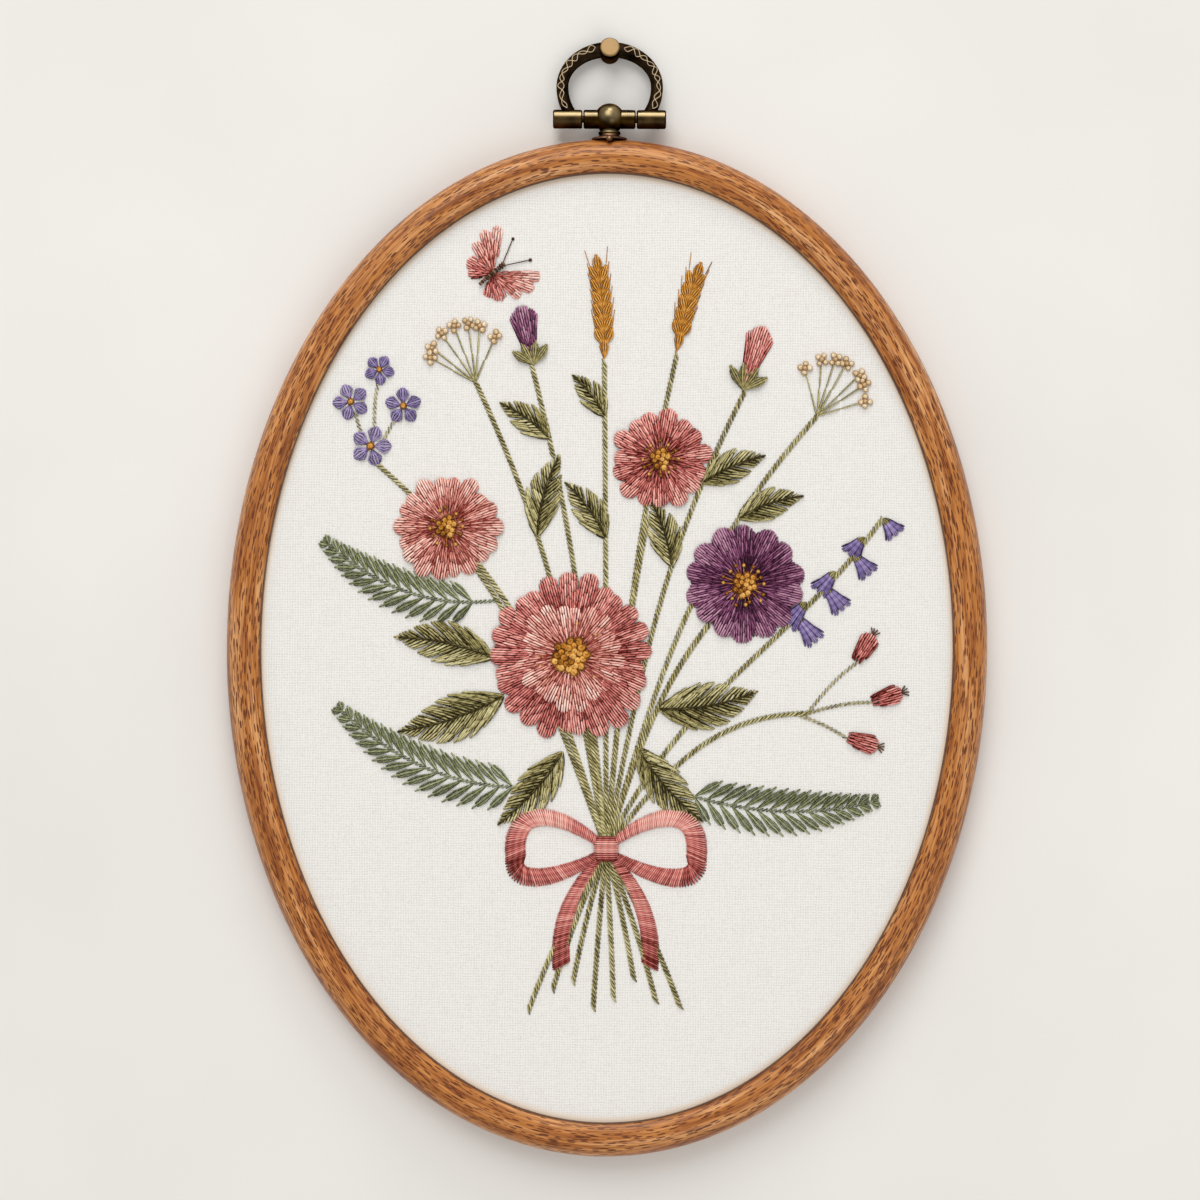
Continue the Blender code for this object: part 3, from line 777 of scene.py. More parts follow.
# %% The winding that all threads share
def winding_tree():
    """Winds a low, wide thread round each curve. Its map runs along it, and round it from the underside."""
    tree, given, result = new_tree("winding", Sides=6, Flatness=0.75)
    upright = add(tree, "GeometryNodeSetCurveNormal", {"Curve": given["Geometry"]}, mode="Z_UP")
    along = add(tree, "GeometryNodeCaptureAttribute", {"Geometry": upright}, domain="POINT")
    along.capture_items.new("FLOAT", "Along")
    tree.links.new(add(tree, "GeometryNodeSplineParameter").outputs["Length"], along.inputs["Along"])
    ring = add(tree, "GeometryNodeCurvePrimitiveCircle", {"Resolution": given["Sides"], "Radius": 0.5},
               mode="RADIUS")
    under = add(tree, "GeometryNodeTransform", {"Geometry": ring, "Rotation": (0.0, 0.0, math.radians(120))})
    flat = add(tree, "ShaderNodeCombineXYZ", {"X": 1.0, "Y": given["Flatness"], "Z": 1.0})
    oval = add(tree, "GeometryNodeTransform", {"Geometry": under, "Scale": flat})
    about = add(tree, "GeometryNodeCaptureAttribute", {"Geometry": oval}, domain="POINT")
    about.capture_items.new("FLOAT", "About")
    tree.links.new(add(tree, "GeometryNodeSplineParameter").outputs["Factor"], about.inputs["About"])
    thickness = add(tree, "GeometryNodeInputNamedAttribute", {"Name": "thickness"}, data_type="FLOAT")
    tube = add(tree, "GeometryNodeCurveToMesh", {
        "Curve": along.outputs["Geometry"], "Profile Curve": about.outputs["Geometry"], "Scale": thickness,
        "Fill Caps": True})
    place = add(tree, "ShaderNodeCombineXYZ", {"X": along.outputs["Along"], "Y": about.outputs["About"]})
    add(tree, "GeometryNodeStoreNamedAttribute", {"Geometry": tube, "Name": "UVMap", "Value": place},
        result["Geometry"], data_type="FLOAT2", domain="CORNER")
    return tree


WINDING = winding_tree()


# %% A tree for straight threads
def thread_tree():
    """Winds a thread round each guide line."""
    tree, given, result = new_tree("threads", Sides=6, Flatness=0.75)
    lines = add(tree, "GeometryNodeMeshToCurve", {"Mesh": given["Geometry"]})
    wound = add(tree, "GeometryNodeGroup", {"Geometry": lines, "Sides": given["Sides"],
                                            "Flatness": given["Flatness"]}, node_tree=WINDING)
    return end_tree(tree, given, result, wound)


THREADS = thread_tree()


# %% The wires on the hanging ring
RING_RISE, RING_DROP = 9.9 * MM, 12.4 * MM       # the band's path: two half ovals that meet at its widest
RING_HALF = 11.85 * MM
RING_WIDEST, RING_FOOT = 8.4 * MM, 1.6 * MM      # over the pin
RING_LEAN = math.radians(-9.5)
BAND_HALF, BAND_SWELL = 1.5 * MM, 0.55 * MM      # half its width at its sides, and what its top has more
BAND_DOME = 0.7                                  # how high its front is, as a share of half its width
WIRE, WIRE_UP = 0.20 * MM, 0.02 * MM             # thickness, and how far its middle is over the band
WIRE_STEPS, WEAVES = 52, 4.5                     # on each half of the band
BY_KNUCKLE, BY_STUD = 0.10, 0.30                 # how far short of them the wires stop, as angles


def on_band(turn, across):
    """A point on the band's front, at an angle round it and at a share of its half width from its middle
    line."""
    rise = RING_RISE if math.sin(turn) > 0 else RING_DROP
    place = Vector((RING_HALF * math.cos(turn), RING_WIDEST + rise * math.sin(turn), 0.0))
    along = Vector((-RING_HALF * math.sin(turn), rise * math.cos(turn), 0.0)).normalized()
    half = BAND_HALF + BAND_SWELL * max(0.0, math.sin(turn)) ** 2
    out = Vector((along.y, -along.x, 0.0)) * half * across
    front = Vector((0.0, 0.0, BAND_DOME * half * math.sqrt(1 - across * across) + WIRE_UP))
    return PIVOT + Matrix.Rotation(RING_LEAN, 3, "X") @ (place + out + front)


def ring_wires():
    """Two wires that weave across the front of each half of the band, from the knuckle to the stud. Their
    swing and their pace drift, as in wires that are laid by hand."""
    foot = math.asin((RING_FOOT - RING_WIDEST) / RING_DROP)
    wires = []
    for first, last in ((foot + BY_KNUCKLE, math.pi / 2 - BY_STUD),
                        (math.pi / 2 + BY_STUD, math.pi - foot - BY_KNUCKLE)):
        for phase in (0.0, math.pi):
            wire = []
            for i in range(WIRE_STEPS + 1):
                share = i / WIRE_STEPS
                swing = 0.42 + 0.12 * math.sin(share * 17 + phase * 2 + first)
                drift = 0.6 * math.sin(share * 9 + phase)
                across = 0.24 + swing * math.sin(share * WEAVES * 2 * math.pi + phase + drift)
                wire.append((on_band(first + (last - first) * share, across), WIRE, 0.5))
            wires.append(wire)
    return wires


wires = run_tree("brass_wires", guide_lines("wires", ring_wires()), THREADS, bright_brass, Flatness=1.0)
dress(wires, "rubbed_brass")

# %% [markdown]
# ### Stem stitch and French knots
# A stem stitch is a rope: each stitch starts beside the middle of the one before. So one arched stitch is
# set on points along the path, with a slant. A French knot is a thread that is wound twice round the
# needle, and its coil is set on one point. Both are instances of one small mesh until the tree's end.

# %% One stem stitch
STEM_WIDTH = 1.25                  # in mm: how wide a rope the tree's own sizes give


def stem_stitch(tree, given):
    """One arched stitch, thinner towards its two ends."""
    half = add(tree, "ShaderNodeMath", {"Value": given["Reach"], "Value_001": 0.5}, operation="MULTIPLY")
    front = add(tree, "ShaderNodeCombineXYZ", {"X": half})
    back = add(tree, "ShaderNodeVectorMath", {"Vector": front, "Scale": -1.0}, operation="SCALE")
    straight = add(tree, "GeometryNodeCurvePrimitiveLine", {"Start": back, "End": front}, mode="POINTS")
    five = add(tree, "GeometryNodeResampleCurve", {"Curve": straight, "Count": 5}, mode="COUNT")
    share = add(tree, "GeometryNodeSplineParameter").outputs["Factor"]
    swing = add(tree, "ShaderNodeMath", {"Value": share, "Value_001": math.pi}, operation="MULTIPLY")
    arch = add(tree, "ShaderNodeMath", {"Value": swing}, operation="SINE")
    rise = add(tree, "ShaderNodeMath", {"Value": arch, "Value_001": given["Lift"]}, operation="MULTIPLY")
    upward = add(tree, "ShaderNodeCombineXYZ", {"Z": rise})
    arched = add(tree, "GeometryNodeSetPosition", {"Geometry": five, "Offset": upward})
    swell = add(tree, "ShaderNodeMapRange", {"Value": arch, "To Min": 0.55, "To Max": 1.0})
    width = add(tree, "ShaderNodeMath", {"Value": swell, "Value_001": given["Thick"]}, operation="MULTIPLY")
    sized = add(tree, "GeometryNodeStoreNamedAttribute", {
        "Geometry": arched, "Name": "thickness", "Value": width}, data_type="FLOAT", domain="POINT")
    return add(tree, "GeometryNodeGroup", {"Geometry": sized}, node_tree=WINDING)


# %% A tree for stem stitch
def stem_tree():
    """Slanting stitches at an even step along each path, each one reaching back past the one before."""
    tree, given, result = new_tree("stems", Step=1.1 * MM, Reach=2.5 * MM, Thick=0.56 * MM, Slant=0.50,
                                   Lift=0.30 * MM, Unevenness=0.30, Seed=4)
    paths = add(tree, "GeometryNodeMeshToCurve", {"Mesh": given["Geometry"]})
    even = add(tree, "GeometryNodeResampleCurve", {"Curve": paths, "Length": given["Step"]}, mode="LENGTH")
    points = add(tree, "GeometryNodeCurveToPoints", {"Curve": even}, mode="EVALUATED")
    facing = add(tree, "FunctionNodeAlignRotationToVector", {"Vector": points.outputs["Tangent"]}, axis="X",
                 pivot_axis="Z")
    angle = add(tree, "ShaderNodeCombineXYZ", {"Z": given["Slant"]})
    slant = add(tree, "FunctionNodeEulerToRotation", {"Euler": angle})
    turned_way = add(tree, "FunctionNodeRotateRotation", {"Rotation": facing, "Rotate By": slant},
                     rotation_space="LOCAL")
    girth = add(tree, "GeometryNodeInputNamedAttribute", {"Name": "thickness"}, data_type="FLOAT")
    laid = add(tree, "GeometryNodeInstanceOnPoints", {
        "Points": points, "Instance": stem_stitch(tree, given), "Rotation": turned_way, "Scale": girth})
    chance = add(tree, "FunctionNodeRandomValue", {
        "Min_001": -1.0, "Max_001": 1.0, "Seed": given["Seed"]}, data_type="FLOAT")
    shade = add(tree, "GeometryNodeInputNamedAttribute", {"Name": "tone"}, data_type="FLOAT")
    uneven = add(tree, "ShaderNodeMath", {
        "Value": chance, "Value_001": given["Unevenness"], "Value_002": shade}, operation="MULTIPLY_ADD")
    toned = add(tree, "GeometryNodeStoreNamedAttribute", {"Geometry": laid, "Name": "tone", "Value": uneven},
                data_type="FLOAT", domain="INSTANCE")
    return end_tree(tree, given, result, toned)


STEMS = stem_tree()


# %% A tree for French knots
def knot_tree():
    """Thread coiled twice round, the upper turn smaller: one coil for each guide point, turned by chance."""
    tree, given, result = new_tree("knots", Size=2.0 * MM, Turns=2.1, Seed=7)
    points = add(tree, "GeometryNodeMeshToPoints", {"Mesh": given["Geometry"]})
    wide, narrow, tall, girth = (
        add(tree, "ShaderNodeMath", {"Value": given["Size"], "Value_001": share}, operation="MULTIPLY")
        for share in (0.31, 0.10, 0.30, 0.40))
    coil = add(tree, "GeometryNodeCurveSpiral", {
        "Resolution": 7, "Rotations": given["Turns"], "Start Radius": wide, "End Radius": narrow,
        "Height": tall})
    sized = add(tree, "GeometryNodeStoreNamedAttribute", {
        "Geometry": coil, "Name": "thickness", "Value": girth}, data_type="FLOAT", domain="POINT")
    wound = add(tree, "GeometryNodeGroup", {"Geometry": sized, "Flatness": 0.85}, node_tree=WINDING)
    chance = add(tree, "FunctionNodeRandomValue", {
        "Min_001": 0.0, "Max_001": 2 * math.pi, "Seed": given["Seed"]}, data_type="FLOAT")
    about = add(tree, "ShaderNodeCombineXYZ", {"Z": chance})
    spin = add(tree, "FunctionNodeEulerToRotation", {"Euler": about})
    width = add(tree, "GeometryNodeInputNamedAttribute", {"Name": "thickness"}, data_type="FLOAT")
    scale = add(tree, "ShaderNodeMath", {"Value": width, "Value_001": given["Size"]}, operation="DIVIDE")
    set_down = add(tree, "GeometryNodeInstanceOnPoints", {
        "Points": points, "Instance": wound, "Rotation": spin, "Scale": scale})
    return end_tree(tree, given, result, set_down)


KNOTS = knot_tree()

# %% [markdown]
# ## Embroidery cotton
# Stranded cotton is mercerised: the yarn was treated to swell and shine, so each thread shows a soft silky
# line of light. The finish paints shade down each side of a thread, where it sinks between its neighbours.
# One finish serves all colours. The tone that each stitch carries picks its shade from light to dark, as a
# needleworker picks the next thread, and a faint slanting stripe along the map is the twist of its strands.

# %% Cotton finish
PLY = 1.6 * MM                     # the strands' twist: the real one is 3 mm long, drawn tighter to show


def cotton(name, light, middle, dark):
    """Mercerised cotton: soft sheen, a twist along each thread, and painted shade down each of its sides."""
    material, tree, shader = new_material(name, Roughness=0.55, Specular_IOR_Level=0.25, Sheen_Weight=0.08,
                                          Specular_Tint=middle)
    tone = add(tree, "ShaderNodeAttribute", attribute_name="tone")
    uv = add(tree, "ShaderNodeSeparateXYZ", {"Vector": add(tree, "ShaderNodeTexCoord").outputs["UV"]})
    way = add(tree, "ShaderNodeMath", {"Value": uv.outputs["X"], "Value_001": 2 * math.pi / PLY},
              operation="MULTIPLY")
    slant = add(tree, "ShaderNodeMath", {
        "Value": uv.outputs["Y"], "Value_001": 4 * math.pi, "Value_002": way}, operation="MULTIPLY_ADD")
    twist = add(tree, "ShaderNodeMath", {"Value": slant}, operation="SINE")
    off_top = add(tree, "ShaderNodeMath", {"Value": uv.outputs["Y"], "Value_001": 0.5}, operation="SUBTRACT")
    away = add(tree, "ShaderNodeMath", {"Value": off_top}, operation="ABSOLUTE")
    # painted shade: darker down each side of a thread, where it meets its neighbours
    side = add(tree, "ShaderNodeMapRange", {"Value": away, "From Min": 0.13, "From Max": 0.28,
                                            "To Max": 0.80})
    stripe = add(tree, "ShaderNodeMath", {
        "Value": twist, "Value_001": 0.10, "Value_002": tone.outputs["Fac"]}, operation="MULTIPLY_ADD")
    shade = add(tree, "ShaderNodeMath", {"Value": stripe, "Value_001": side}, operation="ADD", use_clamp=True)
    add(tree, "ShaderNodeValToRGB", {"Fac": shade}, shader.inputs["Base Color"],
        stops=[(0.0, light), (1.0, dark), (0.5, middle)])
    add(tree, "ShaderNodeBump", {"Height": twist, "Strength": 0.35, "Distance": 0.05 * MM},
        shader.inputs["Normal"])
    return material


SHADES = {
    "rose": ("#ffccbf", "#dc8079", "#621812"),
    "blush": ("#ffe6da", "#f0a89b", "#8e372c"),
    "plum": ("#c99ab2", "#8c5076", "#35142a"),
    "lilac": ("#c0b0d6", "#7d6da3", "#2f2145"),
    "ochre": ("#f4c878", "#d08e38", "#5f2f08"),
    "green": ("#dbd3a4", "#9e9460", "#2c2308"),
    "sage": ("#c6caa8", "#868d64", "#2d3115"),
    "cream": ("#f8eed8", "#e8d2ac", "#b48d5c"),
    "brown": ("#96704f", "#654731", "#33211a"),
}
finishes = {name: cotton("cotton_" + name, *shades) for name, shades in SHADES.items()}

# %% [markdown]
# ## Planning the embroidery
# The embroidery is planned on the flat before any thread is made, as a maker draws it on the cloth first. A
# point on the cloth is one complex number, x + 1j * y, in millimetres from the middle of the oval, so a
# turn is a multiplication and a unit step forward becomes a step sideways when it is multiplied by 1j.
# Every stitch goes from one needle hole to the next. It is kept with its thickness, its tone (0 is the
# lightest shade of its skein and 1 the darkest) and the height that its two ends have over the cloth.

# %% Tools for planning stitches
dice = random.Random(11)
THREAD = 0.56                      # two strands of cotton laid side by side, in mm
skeins = {}


def skein(name):
    """What is sewn in a colour, by the kind of stitch."""
    return skeins.setdefault(name, {"stitches": [], "loops": [], "stems": [], "knots": []})


def say_planned(what):
    """Prints how much is planned once this has been added."""
    count = sum(len(kind) for work in skeins.values() for kind in work.values())
    print(f"with {what}, {count} stitches, stems and knots are planned")


# %% Turns and curves
CURVE_STEPS = 160
NEAR = 0.02                        # a share of a curve that is short enough to show its direction there


def turned(degrees):
    """A step of 1 mm in a direction. Another step that is multiplied by it turns by as much."""
    return cmath.exp(1j * math.radians(degrees))


def between(a, b, share):
    """What lies at a share of the way from a to b."""
    return a + (b - a) * share


def bezier(controls, share):
    """The point at a share of the way along the smooth curve that the controls pull on."""
    points = list(controls)
    while len(points) > 1:
        points = [between(a, b, share) for a, b in zip(points, points[1:])]
    return points[0]


def evenly(controls, spacing):
    """Points an even step apart along that curve."""
    fine = [bezier(controls, i / CURVE_STEPS) for i in range(CURVE_STEPS + 1)]
    run = [0.0]
    for a, b in zip(fine, fine[1:]):
        run.append(run[-1] + abs(b - a))
    count = max(2, round(run[-1] / spacing))
    points, i = [], 0
    for k in range(count + 1):
        goal = run[-1] * k / count
        while i < CURVE_STEPS - 1 and run[i + 1] < goal:
            i += 1
        points.append(between(fine[i], fine[i + 1], (goal - run[i]) / (run[i + 1] - run[i])))
    return points


def heading(points, i):
    """The direction in which a row of points runs at one of them."""
    step = points[min(i + 1, len(points) - 1)] - points[max(i - 1, 0)]
    return step / abs(step)


# %% Stitches, knots and stems
covered = []                       # rounds that blooms and leaves fill: a stem isn't sewn under them


def is_covered(point):
    """Whether a bloom or a leaf fills the cloth there."""
    return any(abs(point - centre) < radius for centre, radius in covered)


def stitch(colour, start, end, tone=0.5, thick=THREAD, ends=(0.0, 0.0), lift=0.5, wobble=0.06, under=True):
    """One straight stitch with a hand's small faults, arched by its lift. Where it may run under a bloom, it
    isn't sewn if the bloom covers its middle."""
    if under and is_covered(between(start, end, 0.5)):
        return
    start += complex(dice.gauss(0, wobble), dice.gauss(0, wobble))
    end += complex(dice.gauss(0, wobble), dice.gauss(0, wobble))
    tone = min(1.0, max(0.0, tone + dice.gauss(0, 0.11)))
    skein(colour)["stitches"].append((start, end, tone, thick * dice.uniform(0.9, 1.1), ends, lift))


def knot(colour, centre, size, tone, height=0.0):
    """One French knot, so many mm wide."""
    skein(colour)["knots"].append((centre, size * dice.uniform(0.92, 1.08), tone, height))


def stem(colour, controls, width, tone):
    """A rope of slanting stitches along a path. It stops where a bloom covers it."""
    runs = [[]]
    for point in evenly(controls, 1.0):
        if is_covered(point):
            runs.append([])
        else:
            runs[-1].append(point)
    skein(colour)["stems"] += [(run, width, tone) for run in runs if len(run) > 2]


# %% [markdown]
# ### Long and short stitch
# Petals are filled with long and short stitch: rows of short stitches, end to end, whose ends never line
# up, so one shade melts into the next. A bulging mesh with threads drawn on it would look printed from the
# side, so every stitch is planned by itself. Each finger of a petal has its rows over a padding of thick
# thread in the darkest shade, which raises the finger and shows as painted shade in its gaps.

# %% A row of long and short stitches
SHORTEST = 0.6                     # in mm: no stitch of a row is shorter
SINK, END_SINK = 0.14, 0.32        # how far its ends go down, within a row and at the row's end
PITCH = 0.60                       # how far apart the rows lie
HOLE = 0.08                        # how far one stitch of a row starts from the end of the one before
PAD_SINK = (0.45, 0.55)            # how far the two ends of a padding thread lie under its row
ROW_TONES = (-0.10, -0.05, 0.0, 0.05, 0.16)      # what a stitch may add to the tone of its row


def along_path(path, share):
    """The point at a share of the way along a row of points."""
    place = share * (len(path) - 1)
    i = min(len(path) - 2, int(place))
    return between(path[i], path[i + 1], place - i)


def strand(colour, path, tones, base, length=3.0, darker=0.0, under=False):
    """A row of short stitches, end to end, along a path. The tone runs from the path's foot to its tip, and
    the height over the cloth is a function of the share of the way."""
    far = sum(abs(b - a) for a, b in zip(path, path[1:]))
    at = -dice.uniform(0.1, 0.9) * length
    while at < far - 0.4:
        stop = at + length * dice.uniform(0.8, 1.2)
        if stop > far - 0.45 * length:
            stop = far
        start = max(0.0, at)
        if stop - start > SHORTEST:
            first, last = start / far, stop / far
            tone = tones[0] + (tones[1] - tones[0]) * ((first + last) / 2) ** 0.75 + darker
            tone += dice.choice(ROW_TONES)
            ends = (base(first) - SINK, base(last) - (END_SINK if stop == far else SINK))
            stitch(colour, along_path(path, first), along_path(path, last), tone, ends=ends, lift=0.32,
                   wobble=0.05, under=under)
        at = stop + HOLE


# %% A finger of such rows
def lobe(colour, foot, tip, width, tones, bend=0.0, height=0.6, base=0.1, waist=0.3, length=3.0):
    """A rounded finger: strands side by side over a padding in the darkest shade, which is painted shade in
    their gaps. It is domed, its outer strands end sooner, and it darkens towards its foot and its two sides."""
    controls = [foot, between(foot, tip, 0.5) + (tip - foot) * 1j * bend, tip]
    far = abs(tip - foot)
    columns = max(3, round(width / PITCH))

    def place(up, side):
        ahead = bezier(controls, min(1.0, up + NEAR)) - bezier(controls, min(1 - NEAR, up))
        half = 0.5 * width * (waist + (1 - waist) * math.sin(math.pi / 2 * min(1.0, up * 1.25)))
        return bezier(controls, up) + 1j * ahead / abs(ahead) * side * half

    for k in range(columns):
        side = -1 + 2 * (k + 0.5) / columns
        end = 1 - 0.55 * width / far * (1 - math.sqrt(1 - 0.92 * side * side))
        start = 0.0 if k % 2 else 0.10 + 0.25 * (1 - waist)
        path = [place(start + (end - start) * i / 6, side) for i in range(7)]

        def rise(share):
            dome = math.sin(math.pi * (0.10 + 0.74 * (start + (end - start) * share))) ** 0.8
            return base + height * math.sqrt(1 - 0.9 * side * side) * dome

        # the padding, in the darkest shade: painted shade where the strands part
        stitch(colour, path[0], path[-1] - 0.25 * (tip - foot) / far, 1.0, thick=THREAD * 1.5,
               ends=(rise(0) - PAD_SINK[0], rise(1) - PAD_SINK[1]), lift=0.25 * height, under=False)
        strand(colour, path, (tones[1], tones[0]), rise, length, 0.34 * abs(side) ** 3 - 0.05)


# %% Petals
PETAL_FOOT, PETAL_BEND, PETAL_WAIST = 0.14, 0.05, 0.2      # its lobes' start, bend and narrowing at the foot
PETAL_CORNER = 0.22                # how much shorter the outer lobes are, as a share
PETAL_FILL = 1.55                  # how far the lobes overlap: at 1 they would only touch
OVERLAP = 1.08                     # the same for the petals
LOW_TONE, HIGH_UP = 0.14, 0.35     # how much darker every other petal is, and how much higher the others lie


def petal(colour, centre, angle, length, spread, tones, lobes=4, notch=0.0, height=0.8, base=0.1):
    """A fan of lobes with lines of the darkest shade between them, as painted shade. The outer ones are sewn
    first, so that the middle of the petal lies on top."""
    def ray(share, reach):
        near = centre + PETAL_FOOT * length * turned(angle + 0.8 * spread * share)
        return near, centre + reach * turned(angle + spread * share)

    # painted shade: dark lines between the lobes
    for i in range(lobes - 1):
        share = -1 + 2 * (i + 1) / lobes
        near, far = ray(share, length * (0.84 - 0.8 * PETAL_CORNER * share * share - notch))
        for side in (-0.3, 0.3):
            aside = side * 1j * turned(angle)
            stitch(colour, near + aside, far + aside, 1.0, thick=THREAD * 1.3, ends=(base, base - 0.1),
                   lift=0.25 * height, under=False)
    for i in sorted(range(lobes), key=lambda i: -abs(i - (lobes - 1) / 2)):
        share = -1 + (2 * i + 1) / lobes
        reach = length * (1 - PETAL_CORNER * share * share - notch * (1 - abs(share)))
        near, far = ray(share, reach * dice.uniform(0.97, 1.02))
        width = PETAL_FILL * length * math.sin(math.radians(spread / lobes))
        own = dice.uniform(-0.10, 0.10) + 0.08 * abs(share)
        lobe(colour, near, far, width, [tone + own for tone in tones], PETAL_BEND * share, height,
             base + 0.16 * (1 - abs(share)), PETAL_WAIST)


# %% Petals and stamens round a middle
def bloom(colour, centre, radius, petals, turn, tones, base=0.1, **style):
    """Petals round a middle. Every other one lies higher and is lighter, so that their edges overlap."""
    spread = 180 / petals * OVERLAP
    order = list(range(0, petals, 2)) + list(range(1, petals, 2))
    for place, i in enumerate(order):
        low = place < (petals + 1) // 2
        petal(colour, centre, turn + 360 * i / petals, radius * dice.uniform(0.96, 1.04), spread,
              [tone + LOW_TONE * low for tone in tones], base=base if low else base + HIGH_UP, **style)
    covered.append((centre, radius * 0.78))


def stamens(centre, radius, count, size):
    """A ring of fine straight stitches with a tiny knot at the end of each, round a packed middle."""
    for i in range(count):
        way = turned(360 * (i + dice.uniform(-0.25, 0.25)) / count)
        reach = radius * dice.uniform(1.35, 1.75)
        stitch("ochre", centre + way * radius * 0.7, centre + way * reach, 0.6, thick=0.28, ends=(0.9, 0.8),
               lift=0.35, under=False)
        knot("ochre", centre + way * reach, 1.2, 0.2 + 0.5 * (i % 2), height=1.0)
    packed = max(4, round(radius * radius * 3.6 / size))
    for i in range(packed):
        place = centre + (radius - 0.2 * size) * math.sqrt((i + 0.5) / packed) * turned(137.5 * i)
        knot("ochre", place, size, 0.15 + 0.6 * ((i * 7) % 5) / 4, height=0.85)


# %% [markdown]
# ### Leaves
# A leaf is filled with strands that slant forward from its vein to its edge, as in fishbone stitch. The
# toothed edge could be an outline that all strands are cut to, but then it would look clipped. So the
# strands go in groups of five, and each one of a group reaches further than the one behind it.

# %% One strand of a leaf
TOOTH = 5                          # strands to one tooth of a leaf's edge
SLANT = math.radians(34)           # between the strands and the vein
LEAF_PITCH = 0.47                  # in mm, between one strand and the next
LEAF_TONES = (0.10, 0.34)          # one for each side of the vein
LEAF_DOME = 0.3                    # in mm: how high the middle of a tooth lies over its two sides
VEIN_FOOT, VEIN_FILLED = 0.06, 0.93      # shares of the vein: where its strands start, and how much they fill


def leaf_strand(colour, controls, width, side, k, count):
    """Strand k of one side of a leaf, from the vein to the edge, over a padding whose dark tone is painted
    shade in the gaps.
    """
    base, _, tip = controls
    far = abs(tip - base)
    up = VEIN_FOOT + VEIN_FILLED * (k + 0.5) / count
    half = 0.5 * width * math.sin(math.pi * up ** 0.92)
    place = (k + (2 if side > 0 else 0)) % TOOTH
    front = min(1.0, up + (TOOTH - 1 - place) * VEIN_FILLED / count)
    point = bezier(controls, front) + side * 1j * (tip - base) / far * 0.5 * width * math.sin(
        math.pi * front ** 0.92) * 1.05
    first, last = bezier(controls, max(0.0, up - half / (far * math.tan(SLANT)))), bezier(controls, up)
    ahead = bezier(controls, min(1.0, up + NEAR)) - bezier(controls, up - NEAR)
    ahead /= abs(ahead)
    out = side * 1j * ahead
    end = between(last + out * half * (0.91 + 0.09 * place / (TOOTH - 1)), point + ahead * 0.6, 0.12)
    middle = between(first, end, 0.5) + out * 0.08 * abs(end - first)
    path = [bezier([first, middle, end], i / 5) for i in range(6)]
    dome = LEAF_DOME * math.sin(math.pi * (place + 0.7) / (TOOTH + 0.4))

    def rise(share):
        return 0.05 + dome + 0.28 * math.sin(math.pi * (0.15 + 0.7 * share))

    shade = LEAF_TONES[side < 0] + 0.05 * (k // TOOTH % 2)
    # the padding: a dark tone as painted shade in the gaps between strands
    stitch(colour, path[0], path[-1] - 0.5 * ahead - 0.25 * out, 0.85, thick=THREAD * 1.6,
           ends=(rise(0) - PAD_SINK[0], rise(1) - PAD_SINK[1]), lift=0.15)
    strand(colour, path, (shade + 0.30, shade), rise, 3.4, 0.20 * (place == 0), under=True)


# %% A leaf
def leaf(colour, base, tip, width, bend):
    """Strands that slant forward from the vein to the edge. The vein is sewn in the darkest shade, as painted
    shade in the groove between the two sides. Every few strands make one tooth: its strands reach further
    towards its front, and a dark line parts it from the next."""
    controls = [base, between(base, tip, 0.5) + (tip - base) * 1j * bend, tip]
    count = round(abs(tip - base) * math.sin(SLANT) / LEAF_PITCH)
    for side in (1, -1):
        for k in range(count):
            leaf_strand(colour, controls, width, side, k, count)
    stitch(colour, bezier(controls, 0.86), tip + 0.02 * (tip - base), LEAF_TONES[0] + 0.2, ends=(0.3, -0.2),
           lift=0.3)
    # painted shade: the vein in the darkest shade, for the groove between the two sides
    vein = evenly(controls, 0.9)
    for i in range(0, len(vein) - 3, 2):
        stitch(colour, vein[i], vein[i + 3], 1.0, thick=0.5, ends=(0.52, 0.52), lift=0.35, wobble=0.02)
    for share in (0.3, 0.55, 0.8):
        covered.append((bezier(controls, share), 0.30 * width))


# %% [markdown]
# ### Small motifs
# Grains, bells, leaflets and the petals of small flowers are too narrow for long and short stitch. A maker
# fills each with a few long stitches that fan out from one hole, so each of them is a handful of curved
# threads with a shared foot. The rest is straight stitch, satin stitch and knots.

# %% Small petals, flowers and bells
def fan_stitch(colour, path, tone, base, lift):
    """One thread laid along a short path."""
    skein(colour)["loops"].append((path, min(1.0, max(0.0, tone)), THREAD * 0.95, base, lift))


def dot_petal(colour, foot, angle, length, width, tone=0.3, threads=5, base=0.0):
    """A small padded petal of a few stitches that share both ends, as for buds and grains."""
    ahead = turned(angle)
    for k in range(threads):
        side = -1 + 2 * k / (threads - 1)
        belly = foot + ahead * length * 0.55 + 1j * ahead * side * width / 2
        tip = foot + ahead * length * (1 - 0.16 * side * side) + 1j * ahead * side * width * 0.30
        shade = tone + 0.22 * abs(side) + dice.uniform(-0.14, 0.14)
        path = [foot, between(foot, belly, 0.6), belly, between(belly, tip, 0.7), tip]
        fan_stitch(colour, path, shade, base + 0.12 * (1 - abs(side)), 0.5)


def small_flower(colour, centre, size, turn, tone, petals=5, base=0.1):
    """Small petals round a knot."""
    for i in range(petals):
        angle = turn + 360 * i / petals
        foot = centre + 0.10 * size * turned(angle)
        dot_petal(colour, foot, angle, size * 0.44, size * 0.34, tone, base=base)
    knot("ochre", centre, size * 0.20 + 0.5, 0.35, height=base + 0.2)
    covered.append((centre, size * 0.36))


